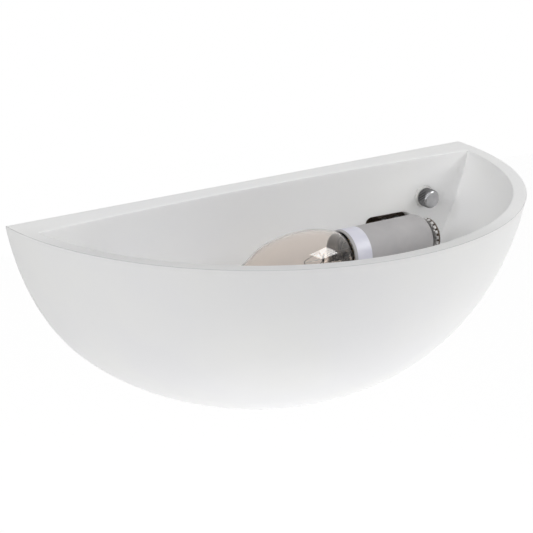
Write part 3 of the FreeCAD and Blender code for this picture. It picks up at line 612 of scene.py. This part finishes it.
# %% Draw the glass
def smooth_curve(points, first_slope, last_slope, between=9):
    """A cubic spline through the points, with a given direction at each
    end. The distances h between the points are its knots. Its slopes m come
    from m[i-1]/h[i-1] + 2 m[i] (1/h[i-1] + 1/h[i]) + m[i+1]/h[i] = 3 (d[i-1]
    + d[i]), where d is the step between two points over h squared. Between
    two points it is their cubic Hermite blend."""
    points = np.asarray(points, float)
    h = np.linalg.norm(np.diff(points, axis=0), axis=1)
    step = 3 * np.diff(points, axis=0) / h[:, None] ** 2
    count = len(points)
    matrix = np.eye(count)
    inner = np.arange(1, count - 1)
    matrix[inner, inner] = 2 / h[:-1] + 2 / h[1:]
    matrix[inner, inner - 1], matrix[inner, inner + 1] = 1 / h[:-1], 1 / h[1:]
    sums = np.concatenate([[first_slope], step[:-1] + step[1:], [last_slope]])
    slope = np.linalg.solve(matrix, sums)
    t = np.linspace(0, 1, between, endpoint=False)[None, :, None]
    p, q = points[:-1, None], points[1:, None]
    m, n = slope[:-1, None] * h[:, None, None], slope[1:, None] * h[:, None, None]
    spans = ((2 * t ** 3 - 3 * t ** 2 + 1) * p + (t ** 3 - 2 * t ** 2 + t) * m
             + (3 * t ** 2 - 2 * t ** 3) * q + (t ** 3 - t ** 2) * n)
    return np.concatenate([spans.reshape(-1, points.shape[1]), points[-1:]])


def drawn_in(profile, wall):
    """The profile moved by a wall's thickness towards the axis, square to
    itself: (x, r) + wall * (dr, -dx) / length of (dx, dr)."""
    along = np.gradient(profile, axis=0)
    along /= np.linalg.norm(along, axis=1, keepdims=True)
    return profile + wall * np.stack([along[:, 1], -along[:, 0]], axis=-1)


glass_low, glass_high = np.array(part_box("lamp_glass"))
cap_low, cap_high = np.array(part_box("lamp_cap"))
AXIS = np.array([0.0, (glass_low[1] + glass_high[1]) / 2, (glass_low[2] + glass_high[2]) / 2])
ALONG, UP = (1, 0, 0), (0, 0, 1)

glass_wall = 0.8 * MM
glass_tip, neck_end = glass_low[0], glass_high[0]
cap_start, cap_end = cap_low[0], cap_high[0]
cap_radius = (cap_high[2] - cap_low[2]) / 2
neck_radius = cap_radius - 0.45 * MM
behind_tip = np.array([0.0, 0.5, 8.8, 19.7, 33.4, 46.5, 58.6, 65.5, 70.0]) * MM
glass_radii = np.array([0.0, 1.5, 6.6, 12.4, 16.3, 17.5, 16.4, 14.5, 12.3]) * MM
flare = [[cap_start - 2.6 * MM, 8.6 * MM], [cap_start, neck_radius]]
glass_points = np.concatenate([np.stack([glass_tip + behind_tip, glass_radii], axis=-1), flare])
outline = smooth_curve(glass_points, (0, 1), (1, 0))
lining = drawn_in(outline, glass_wall)
lining[0] = [glass_tip + glass_wall, 0.0]
lining[-1] = [cap_start, neck_radius - glass_wall]
neck = [[neck_end, neck_radius], [neck_end, neck_radius - glass_wall]]
profile = np.concatenate([outline, neck, lining[::-1]])
bulb = surface("glass_envelope", [turn(profile, NO_RIPPLE, AXIS, ALONG, UP)])
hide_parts("lamp_glass")
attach(bulb, "lamp")
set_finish(bulb, "clear_glass")

# %% [markdown]
# ## Inside the lamp
#
# A stem of glass closes the neck. It starts as a flare, draws in to a waist and
# ends in a flat pinch, which holds the wires, so its section goes from a circle
# to an oval. A coiled filament hangs between the two lead wires: a wire carried
# along a helix whose own middle line is a loop.

# %% The stem
stem_low, stem_high = np.array(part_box("lamp_stem"))
stem_reach = (stem_high[2] - stem_low[2]) / 2
stem_waist = 2.7 * MM
pinch_half_thickness = 1.0 * MM
pinch_length = 10 * MM


def stem_grid(rows=48, around=48):
    """Ovals along the axis. Their half height goes from the waist to the
    flare as 1 / (1 + s)^4, s being the distance from the flare over 4 mm,
    and their half thickness starts as the pinch's and joins the half height
    as 3 t^2 - 2 t^3."""
    x = np.linspace(stem_low[0], stem_high[0], rows)
    behind = (stem_high[0] - x) / (4 * MM)
    height = stem_waist + (stem_reach - stem_waist) / (1 + behind) ** 4
    t = np.clip((x - stem_low[0] - 0.5 * pinch_length) / (0.6 * pinch_length), 0, 1)
    thickness = (height * (3 * t ** 2 - 2 * t ** 3)
                 + pinch_half_thickness * (1 - 3 * t ** 2 + 2 * t ** 3))
    angle = np.linspace(0, 2 * np.pi, around + 1)[None]
    ovals = np.stack([np.broadcast_to(x[:, None], (rows, around + 1)),
                      thickness[:, None] * np.sin(angle),
                      height[:, None] * np.cos(angle)], axis=-1) + [0, AXIS[1], AXIS[2]]
    ends = [np.broadcast_to(ovals[i].mean(0), (1, around + 1, 3)) for i in (0, -1)]
    return np.concatenate([ends[0], ovals, ends[1]])


stem = surface("glass_stem", [stem_grid()])
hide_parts("lamp_stem")
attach(stem, "lamp")
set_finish(stem, "clear_glass")


# %% The filament
def wire_grid(path, radius, sides=8):
    """A round wire along a path: at each point a ring on two directions
    square to the path, and a point in its middle to close each end."""
    along = np.gradient(path, axis=0)
    along /= np.linalg.norm(along, axis=1, keepdims=True)
    aside = np.cross(along, [0.31, 0.87, 0.38])
    aside /= np.linalg.norm(aside, axis=1, keepdims=True)
    third = np.cross(along, aside)
    angle = np.linspace(0, 2 * np.pi, sides + 1)[None, :, None]
    around = np.cos(angle) * aside[:, None] + np.sin(angle) * third[:, None]
    rings = path[:, None] + radius * around
    ends = [np.broadcast_to(path[i], (1, sides + 1, 3)) for i in (0, -1)]
    return np.concatenate([ends[0], rings, ends[1]])


filament_low, filament_high = np.array(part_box("lamp_filament"))
coil_turns = 64
coil_radius = 0.26 * MM
coil_wire = 0.07 * MM

loop_start, loop_end = filament_high[0] - 0.2 * MM, filament_low[0] + 0.35 * MM
loop_reach = (filament_high[2] - filament_low[2]) / 2 - 0.4 * MM
half_fold = 0.9 * MM
loop_corners = [[loop_start, -loop_reach], [loop_end, -half_fold],
                [loop_end, half_fold], [loop_start, loop_reach]]
loop = fine(soften(loop_corners, 1.0 * MM, 9), 0.04 * MM)
middle = np.stack([loop[:, 0], np.full(len(loop), AXIS[1]), AXIS[2] + loop[:, 1]], axis=-1)
t = np.append(0, np.cumsum(np.linalg.norm(np.diff(middle, axis=0), axis=1)))
t /= t[-1]
along = np.gradient(middle, axis=0)
along /= np.linalg.norm(along, axis=1, keepdims=True)
winding = (2 * np.pi * coil_turns * t)[:, None]
around = np.cos(winding) * np.cross(along, [0, 1, 0]) + np.sin(winding) * [0, 1, 0]
helix = middle + coil_radius * around
filament = surface("filament_coil", [wire_grid(helix, coil_wire, 6)])
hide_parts("lamp_filament")
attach(filament, "lamp")
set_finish(filament, "lamp_wire")

# %% [markdown]
# ## Screw threads
#
# The lamp's cap is thin metal with a rolled thread, a round wave that climbs
# one pitch in each turn, and the shell it screws into has the same wave, with
# the same phase, so that they stay in mesh when the lamp is turned out.

# %% Thread a turned piece
def thread_wave(profile, pitch, first, last, depth, angle):
    """How far a thread cuts into each point of a turned grid: depth times
    0.5 - 0.5 cos(2 pi x / pitch - a), faded in and out over half a pitch."""
    x = profile[:, 0][:, None]
    wave = 0.5 - 0.5 * np.cos(2 * np.pi * x / pitch - angle[None])
    fade = np.clip((x - first) / (pitch / 2), 0, 1) * np.clip((last - x) / (pitch / 2), 0, 1)
    return depth * wave * fade


# %% The lamp's cap
lamp_pitch = 2.822 * MM
lamp_thread_depth = 0.55 * MM
thread_start = cap_start + 4.6 * MM
end_hole = 5.2 * MM
cap_inside = cap_radius - 1.0 * MM
cap_lip = cap_radius - 0.35 * MM
angles = np.linspace(0, 2 * np.pi, 97)

cap_shoulder = 1.0 * MM
cap_metal = 0.35 * MM
outside = fine(soften([[cap_start, cap_lip], [cap_start, cap_radius],
                       [cap_end - cap_shoulder, cap_radius],
                       [cap_end, cap_radius - cap_shoulder], [cap_end, end_hole]],
                      0.5 * MM), 0.2 * MM)
inside = np.array([[cap_end - cap_metal, end_hole], [cap_end - cap_metal, cap_radius - 1.6 * MM],
                   [cap_end - 1.4 * MM, cap_inside], [neck_end + 0.6 * MM, cap_inside],
                   [neck_end - 0.1 * MM, cap_lip]])
profile = closed(np.concatenate([outside, inside]))
ripple = thread_wave(profile, lamp_pitch, thread_start, cap_end + lamp_pitch,
                     lamp_thread_depth, angles)
ripple *= np.clip((profile[:, 1] - (cap_radius - 0.7 * MM)) / (0.4 * MM), 0, 1)[:, None]
ripple[len(outside):-1] = 0
lamp_cap = surface("threaded_lamp_cap", [turn(profile, ripple, AXIS, ALONG, UP)])
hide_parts("lamp_cap")
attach(lamp_cap, "lamp")
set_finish(lamp_cap, "lamp_cap_metal")

# %% The holder's threaded shell
shell_low, shell_high = np.array(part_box("thread_shell"))
shell_radius = (shell_high[2] - shell_low[2]) / 2
shell_bore = shell_radius - 0.4 * MM
shell_start, shell_stop = shell_low[0], shell_high[0]

bore = fine(np.array([[shell_stop, shell_bore], [shell_start, shell_bore]]), 0.2 * MM)
profile = closed(np.concatenate([bore, [[shell_start, shell_radius], [shell_stop, shell_radius]]]))
ripple = thread_wave(profile, lamp_pitch, thread_start + lamp_pitch / 2, shell_stop - 1 * MM,
                     lamp_thread_depth - 0.05 * MM, angles)
ripple[len(bore):-1] = 0
thread_shell = surface("threaded_shell", [turn(profile, ripple, AXIS, ALONG, UP)])
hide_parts("thread_shell")
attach(thread_shell, "fitting")
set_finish(thread_shell, "brass")

# %% [markdown]
# ## The lampholder's sleeve
#
# A thin metal sleeve covers the holder's black core. Its mouth is cut square,
# and its far end is a dome whose outline is a quarter circle, down to an
# opening for the core's spigot. A plain, thin band lies round it near the mouth.

# %% Turn the sleeve and its band
sleeve_low, sleeve_high = np.array(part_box("holder_sleeve"))
sleeve_radius = (sleeve_high[2] - sleeve_low[2]) / 2
sleeve_bore = sleeve_radius - 1.0 * MM
mouth, far_end = sleeve_low[0], sleeve_high[0]
opening = 8.0 * MM
dome = sleeve_radius - opening


def dome_arc(radius):
    """A quarter circle round the dome's centre: (far end - dome + radius
    sin a, opening + radius cos a)."""
    quarter = np.linspace(0, np.pi / 2, 17)
    return np.stack([far_end - dome + radius * np.sin(quarter),
                     opening + radius * np.cos(quarter)], axis=-1)


behind_lip = mouth + 6 * MM
lip = soften([[behind_lip, sleeve_bore], [mouth, sleeve_bore], [mouth, sleeve_radius],
              [behind_lip, sleeve_radius]], 0.35 * MM)
outer, inner = dome_arc(dome), dome_arc(sleeve_bore - opening)[::-1]
edge = soften([outer[-2], outer[-1], inner[0], inner[1]], 0.25 * MM)
profile = np.concatenate([lip, outer[:-2], edge, inner[2:], [[behind_lip, sleeve_bore]]])
sleeve = surface("satin_sleeve", [turn(profile, NO_RIPPLE, AXIS, ALONG, UP)])
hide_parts("holder_sleeve")
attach(sleeve, "fitting")
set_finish(sleeve, "sleeve_satin")

band_low, band_high = np.array(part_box("sleeve_band"))
band_radius = (band_high[2] - band_low[2]) / 2
band_bore = band_radius - 0.15 * MM
band_middle = (band_low[0] + band_high[0]) / 2
profile = soften([[band_middle, band_bore], [band_low[0], band_bore],
                  [band_low[0], band_radius], [band_high[0], band_radius],
                  [band_high[0], band_bore], [band_middle, band_bore]], 0.06 * MM)
band = surface("plain_band", [turn(profile, NO_RIPPLE, AXIS, ALONG, UP)])
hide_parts("sleeve_band")
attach(band, "fitting")
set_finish(band, "band_foil")

# %% [markdown]
# ## The contact's spring
#
# Behind the sprung contact pin sits a small compression spring of four turns. It
# is pressed shorter as the lamp is screwed home.

# %% Wind the spring
spring_low, spring_high = np.array(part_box("contact_spring"))
spring_wire = 0.25 * MM
spring_radius = (spring_high[2] - spring_low[2]) / 2 - spring_wire
spring_turns = 4

t = np.linspace(0, 1, spring_turns * 32 + 1)
angle = 2 * np.pi * spring_turns * t
rise = spring_low[0] + spring_wire + (spring_high[0] - spring_low[0] - 2 * spring_wire) * t
path = np.stack([rise, AXIS[1] + spring_radius * np.sin(angle),
                 AXIS[2] + spring_radius * np.cos(angle)], axis=-1)
spring = surface("contact_coil_spring", [wire_grid(path, spring_wire, 10)])
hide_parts("contact_spring")
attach(spring, "fitting")
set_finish(spring, "spring_steel")
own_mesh(spring)

# %% [markdown]
# ## Thumb nuts
#
# Two plated nuts hold the bowl. Their sides are knurled for the fingers, with
# straight ridges between two smooth chamfers, and the face is domed a little.

# %% Knurl the nuts
def knurled_nut(name, node, body):
    """A turned nut whose side is lowered by depth times 1 - |sin(n a / 2)|,
    so that n grooves lie between n round ridges."""
    low, high = np.array(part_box(node))
    radius, length = (high[0] - low[0]) / 2, high[1] - low[1]
    ridges, depth = 36, 0.42 * MM
    bore, bore_depth = 2.05 * MM, 6.6 * MM
    foot, shoulder, dome_rise = 0.4 * MM, 1.5 * MM, 0.12 * MM
    side = soften([[0, bore], [0, radius - foot], [foot, radius], [length - shoulder, radius],
                   [length - 0.5 * MM, radius - 0.75 * MM],
                   [length - dome_rise, radius - shoulder], [length, 0.0]], 0.35 * MM, 6)
    profile = np.concatenate([fine(side, 0.45 * MM),
                              [[bore_depth, 0.0], [bore_depth, bore], [0, bore]]])
    angle = np.linspace(0, 2 * np.pi, ridges * 8 + 1)
    groove = depth * (1 - np.abs(np.sin(ridges * angle / 2)))[None]
    on_side = np.clip((profile[:, 1] - (radius - 0.6 * MM)) / (0.5 * MM), 0, 1)[:, None]
    origin = ((low[0] + high[0]) / 2, high[1], (low[2] + high[2]) / 2)
    nut = surface(name, [turn(profile, groove * on_side, origin, (0, -1, 0), UP)])
    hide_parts(node)
    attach(nut, body)
    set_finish(nut, "chrome")


knurled_nut("right_knurled_nut", "right_thumb_nut", "right_nut")
knurled_nut("left_knurled_nut", "left_thumb_nut", "left_nut")

# %% [markdown]
# ## Studs and nipple
#
# The studs and the hollow nipple are threaded rods. Their thread has a finer
# pitch than the lamp's and is cut into the outside only.

# %% Thread the studs and the nipple
def threaded_rod(name, node, bore, pitch, depth, along, plain):
    """A rod along an axis with a thread after a plain stretch. It is turned
    round with a cosine groove, and its ends are chamfered."""
    low, high = np.array(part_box(node))
    along = np.asarray(along, float)
    radius = (high[2] - low[2]) / 2
    start = np.where(along > 0, low, np.where(along < 0, high, (low + high) / 2))
    length = float(np.dot(high - low, np.abs(along)))
    foot, chamfer = 0.2 * MM, 0.6 * MM
    outside = fine(np.array([[0, radius - foot], [foot, radius], [length - chamfer, radius],
                             [length, radius - chamfer]]), pitch / 6)
    if bore:
        profile = closed(np.concatenate([outside, [[length, bore], [0, bore]]]))
    else:
        profile = np.concatenate([[[0, 0]], outside, [[length, 0]]])
    angle = np.linspace(0, 2 * np.pi, 49)
    ripple = thread_wave(profile, pitch, plain, length - 0.3 * MM, depth, angle)
    ripple[profile[:, 1] < radius - 1e-6] = 0
    rod = surface(name, [turn(profile, ripple, start, along, UP)])
    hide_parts(node)
    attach(rod, "fitting")
    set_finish(rod, "zinc_steel")


threaded_rod("right_threaded_stud", "right_stud", 0, 0.7 * MM, 0.38 * MM, (0, -1, 0), 3.8 * MM)
threaded_rod("left_threaded_stud", "left_stud", 0, 0.7 * MM, 0.38 * MM, (0, -1, 0), 3.8 * MM)
threaded_rod("threaded_nipple", "holder_nipple", 3.5 * MM, 1.0 * MM, 0.45 * MM, ALONG, 0.4 * MM)

# %% [markdown]
# ## Pressed, moulded and machined parts
#
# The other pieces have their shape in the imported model, but each edge is a knife
# edge, and light runs along a real edge. A copy of such a piece is merged, its
# flat faces are joined again, and a bevel rounds every edge.

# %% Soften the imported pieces
def softened_copy(node, name, slot, width):
    """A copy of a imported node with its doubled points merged, its flat
    faces joined and its edges rounded to a width."""
    source = frame["nodes"][node]
    mesh = source.data.copy()
    mesh.name = name
    work = bmesh.new()
    work.from_mesh(mesh)
    bmesh.ops.remove_doubles(work, verts=work.verts, dist=2e-6)
    bmesh.ops.dissolve_limit(work, angle_limit=math.radians(1), verts=work.verts, edges=work.edges)
    work.to_mesh(mesh)
    work.free()
    obj = bpy.data.objects.new(name, mesh)
    bpy.context.scene.collection.objects.link(obj)
    if width:
        bevel = obj.modifiers.new("softened edges", "BEVEL")
        bevel.width, bevel.segments, bevel.angle_limit = width, 2, math.radians(35)
        bpy.context.view_layer.update()
        mesh = bake(obj)
    mesh.shade_smooth()
    mesh.set_sharp_from_angle(angle=SHARP)
    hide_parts(node)
    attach(obj, source["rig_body"])
    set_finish(obj, slot)
    print(name, "has", len(mesh.polygons), "faces")


# node, name, slot, and width of the rounding in millimetres
SOFTENED = [
    ("wall_plate", "pressed_wall_plate", "plate_steel", 0.2),
    ("stud_lock_nuts", "thin_lock_nuts", "zinc_steel", 0.2),
    ("right_washer", "right_pale_washer", "pale_washer", 0.2),
    ("left_washer", "left_pale_washer", "pale_washer", 0.2),
    ("cable_bush", "rubber_cable_bush", "bush_rubber", 0.4),
    ("earth_stud", "earth_terminal_stud", "brass", 0.3),
    ("earth_washer", "toothed_earth_washer", "zinc_steel", 0.08),
    ("earth_nut", "earth_terminal_nut", "brass", 0.2),
    ("lampholder_arm", "bent_lamp_arm", "plate_steel", 0.2),
    ("arm_rivets", "domed_rivets", "zinc_steel", 0.15),
    ("terminal_block", "moulded_terminal_block", "block_plastic", 0.35),
    ("block_clamps", "brass_clamps", "brass", 0.15),
    ("block_screws", "clamp_screws", "zinc_steel", 0.08),
    ("block_fixing_screw", "block_screw", "zinc_steel", 0.12),
    ("live_lead", "live_sleeved_lead", "lead_sleeve", 0),
    ("neutral_lead", "neutral_sleeved_lead", "lead_sleeve", 0),
    ("holder_core", "moulded_core", "core_black", 0.25),
    ("neutral_strip", "neutral_contact_strip", "brass", 0.06),
    ("live_strip", "live_contact_strip", "brass", 0.06),
    ("centre_contact", "sprung_contact_pin", "brass", 0.2),
    ("rear_ring", "notched_rear_ring", "ring_nickel", 0.15),
    ("nipple_nut", "nipple_locknut", "zinc_steel", 0.25),
    ("core_screws", "strip_screws", "zinc_steel", 0.12),
    ("lamp_insulator", "black_glass_insulator", "insulator_glass", 0.15),
    ("lamp_tip_contact", "solder_tip", "solder", 0.2),
    ("lamp_lead_wires", "filament_lead_wires", "lamp_wire", 0),
    ("lamp_support", "filament_support", "zinc_steel", 0),
]
for node, name, slot, width in SOFTENED:
    softened_copy(node, name, slot, width * MM)

# %% [markdown]
# ## Metals
#
# Plated steel is a little cloudy, brass is warm with duller patches, and the
# chromed nuts are nearly a mirror, with faint smudges from the fingers. Their
# sides are made darker with a painted dark reflection, as the photograph shows them.

# %% Finishes of the metal pieces
FINISHES = {"plaster": plaster}


def uneven(slot, name, colour, roughness, clouds, patches=None, relief=None, **sockets):
    """The finish of a slot. Clouds are the dark colour, the light one and
    their size, patches the low roughness, the high one and their size, and
    relief a size and a height. Sizes and heights are in millimetres."""
    material = finish(name, shade(*colour), roughness, **sockets)
    mottle(material, shade(*clouds[0]), shade(*clouds[1]), clouds[2] * MM)
    if patches:
        patch_roughness(material, patches[0], patches[1], patches[2] * MM)
    if relief:
        grain(material, relief[0] * MM, relief[1] * MM)
    FINISHES[slot] = material


uneven("chrome", "chromed_nut", (190, 190, 192), 0.12,
       ((182, 182, 185), (198, 198, 199), 5), (0.05, 0.18, 3), (1.2, 0.004), metallic=1.0)
uneven("zinc_steel", "zinc_plate", (178, 180, 182), 0.35,
       ((160, 163, 168), (192, 192, 188), 2.5), (0.28, 0.48, 1.5), (0.3, 0.004), metallic=1.0)
uneven("brass", "brass", (202, 168, 104), 0.3,
       ((172, 138, 84), (214, 182, 118), 3), (0.22, 0.45, 2), (0.25, 0.004), metallic=1.0)
uneven("spring_steel", "spring_steel", (150, 150, 152), 0.3,
       ((128, 128, 132), (165, 165, 166), 1), relief=(0.2, 0.004), metallic=1.0)
uneven("lamp_cap_metal", "rolled_lamp_cap", (196, 196, 192), 0.28,
       ((176, 176, 174), (206, 206, 202), 4), (0.2, 0.4, 2), (0.5, 0.006), metallic=1.0)
uneven("solder", "solder", (170, 172, 176), 0.35,
       ((140, 142, 146), (184, 186, 190), 1), relief=(0.9, 0.05), metallic=1.0)
uneven("lamp_wire", "filament_wire", (96, 92, 90), 0.4,
       ((72, 68, 66), (120, 116, 112), 0.8), metallic=1.0)

# Painted dark reflection: the chrome is darker where it does not face the room, on the nuts'
# knurled sides.
tree = FINISHES["chrome"].node_tree
roomward = part_of(tree, add(tree, "ShaderNodeTexCoord").outputs["Normal"], "Y")
nut_side_painted_reflection_keep = 0.4
scale_colour(FINISHES["chrome"], [map_range(tree, roomward, -0.75, -0.3)], nut_side_painted_reflection_keep)

# %% [markdown]
# ## Painted, plated and moulded pieces
#
# The plate and the arm are coloured dark, as painted shade for the shaded hollow
# behind the window, the sleeve has a pale satin lacquer with duller patches, the
# rear ring is plated, and the core is black resin.

# %% Finishes of the painted and moulded pieces
# The dark colour of the plate and the arm is painted shade for the shaded hollow seen through the
# window.
uneven("plate_steel", "dark_painted_shade", (84, 71, 60), 0.45,
       ((74, 63, 53), (94, 80, 68), 8), (0.38, 0.55, 6), (0.5, 0.01), specular_ior_level=0.5)
uneven("sleeve_satin", "satin_lacquer", (180, 178, 179), 0.66,
       ((176, 174, 175), (184, 182, 182), 14), (0.6, 0.74, 5), (0.6, 0.004),
       specular_ior_level=0.25)
uneven("band_foil", "band_foil", (219, 219, 230), 0.36,
       ((216, 216, 228), (222, 222, 232), 6), (0.3, 0.44, 4), (2.5, 0.01), specular_ior_level=0.5)
uneven("ring_nickel", "rear_ring_plating", (206, 204, 203), 0.3,
       ((190, 188, 187), (218, 216, 215), 3), (0.22, 0.42, 2), (0.4, 0.006), metallic=0.3)
uneven("core_black", "moulded_resin", (34, 30, 27), 0.42,
       ((28, 25, 22), (42, 38, 34), 3), (0.34, 0.52, 2), (0.4, 0.01))
uneven("bush_rubber", "bush_rubber", (40, 39, 38), 0.7,
       ((34, 33, 32), (50, 49, 48), 3), relief=(0.3, 0.02))
uneven("block_plastic", "block_plastic", (232, 230, 222), 0.5,
       ((226, 224, 215), (236, 234, 227), 4), (0.42, 0.58, 2), (0.3, 0.01), subsurface_weight=0.1)
uneven("pale_washer", "pale_washer", (232, 231, 229), 0.55,
       ((224, 223, 221), (237, 236, 234), 2.5), relief=(0.4, 0.01))

# %% [markdown]
# ## Woven sleeves and glass
#
# Each lead runs in a woven glass sleeve. Two sets of slanted bands cross, and
# their product stands for the weave. The lamp is clear glass with a faint warm
# tint, and the insulator at its end is black glass.

# %% Finishes of the leads and the glass
lead_sleeve = finish("woven_lead_sleeve", shade(226, 222, 210), 0.75)
tree = lead_sleeve.node_tree
place = add(tree, "ShaderNodeTexCoord").outputs["Object"]
bands = []
for slant in (0.8, -0.8):
    turned = add(tree, "ShaderNodeMapping", Vector=place, Rotation=(0.0, slant, slant))
    bands.append(add(tree, "ShaderNodeTexWave", Vector=turned.outputs["Vector"],
                     Scale=1.0 / (1.2 * MM)).outputs["Fac"])
weave = combined(tree, "MULTIPLY", bands)
threads = ramp(tree, weave, (0.0, shade(188, 184, 170)), (0.5, shade(234, 231, 221)))
relief = add(tree, "ShaderNodeBump", Distance=0.05 * MM, Height=weave)
tree.links.new(threads, shader_input(lead_sleeve, "Base Color"))
tree.links.new(relief.outputs["Normal"], shader_input(lead_sleeve, "Normal"))

clear_glass = finish("clear_glass", shade(246, 240, 235), 0.0, ior=1.47, transmission_weight=1.0)
grain(clear_glass, 14 * MM, 0.03 * MM)

uneven("insulator_glass", "black_glass", (24, 20, 26), 0.12,
       ((18, 15, 20), (36, 30, 38), 2), coat_weight=0.3)

FINISHES["lead_sleeve"], FINISHES["clear_glass"] = lead_sleeve, clear_glass
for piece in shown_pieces():
    piece.data.materials.clear()
    piece.data.materials.append(FINISHES[piece["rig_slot"]])

# %% [markdown]
# ## The studio
#
# Here the light floats far above a pale floor, so that its soft shadow stays out
# of the picture. The camera, mirror rays and rays through glass see plain white
# all round, while the light that falls on the object is weaker and grows from
# the horizon to the zenith, so that white plaster keeps its shading. Six large
# soft lamps fill in from the left, from the right and from below. Their powers
# were first fitted to the photograph's brightness, and then changed.

# %% Floor
FLOOR_LEVEL = -2.2
floor_half = 6.0
steps = np.linspace(-floor_half, floor_half, 5)
x, y = np.meshgrid(steps, steps, indexing="ij")
floor = surface("studio_floor", [np.stack([x, y, np.full_like(x, FLOOR_LEVEL)], axis=-1)])


def seen_ray(tree):
    """One for rays that show the background: the camera's, and those off a
    mirror and through glass."""
    path = add(tree, "ShaderNodeLightPath").outputs
    rays = ("Is Camera Ray", "Is Glossy Ray", "Is Transmission Ray")
    return combined(tree, "MAXIMUM", [path[ray] for ray in rays])


floor_glow = 0.6
floor_finish = finish("pale_floor", shade(238, 238, 238), 0.8, emission_color=(1, 1, 1, 1))
tree = floor_finish.node_tree
tree.links.new(combined(tree, "MULTIPLY", [seen_ray(tree), floor_glow]),
               shader_input(floor_finish, "Emission Strength"))
floor.data.materials.append(floor_finish)

# %% Surroundings and lamps
HORIZON_LEVEL, ZENITH_LEVEL = 0.0, 0.62
world = bpy.data.worlds.new("studio")
bpy.context.scene.world = world
world.use_nodes = True
tree = world.node_tree
upward = part_of(tree, add(tree, "ShaderNodeTexCoord").outputs["Generated"], "Z")
sky = map_range(tree, upward, 0.0, 1.0, HORIZON_LEVEL, ZENITH_LEVEL)
background = tree.nodes["Background"].inputs
background["Color"].default_value = (1, 1, 1, 1)
tree.links.new(map_range(tree, seen_ray(tree), 0.0, 1.0, sky), background["Strength"])


LAMP_AIM = Vector((0.0, -0.05, 0.0))


def soft_lamp(name, place, size, power):
    """A square lamp of a size in metres and a power in watts, at a place."""
    data = bpy.data.lights.new(name, "AREA")
    data.shape, data.size, data.energy = "SQUARE", size, power
    lamp = bpy.data.objects.new(name, data)
    lamp.location = place
    lamp.visible_camera = False
    lamp.rotation_euler = (LAMP_AIM - Vector(place)).to_track_quat("-Z", "Y").to_euler()
    bpy.context.scene.collection.objects.link(lamp)


soft_lamp("left_lamp", (-1.8, -0.5, 0.0), 1.4, 6.0)
soft_lamp("left_mid_lamp", (-1.6, -0.9, 0.75), 1.0, 2.7)
soft_lamp("left_up_lamp", (-1.5, -0.35, 0.95), 0.9, 7.7)
soft_lamp("under_lamp", (0.15, -0.25, -0.9), 1.2, 6.6)
soft_lamp("right_low_lamp", (1.5, -0.9, -0.5), 1.0, 3.0)
soft_lamp("right_front_lamp", (1.4, -1.4, 1.2), 1.0, 20.0)

# %% [markdown]
# ## The view transform

# %% Set the view transform
scene = bpy.context.scene
scene.view_settings.view_transform = "Standard"
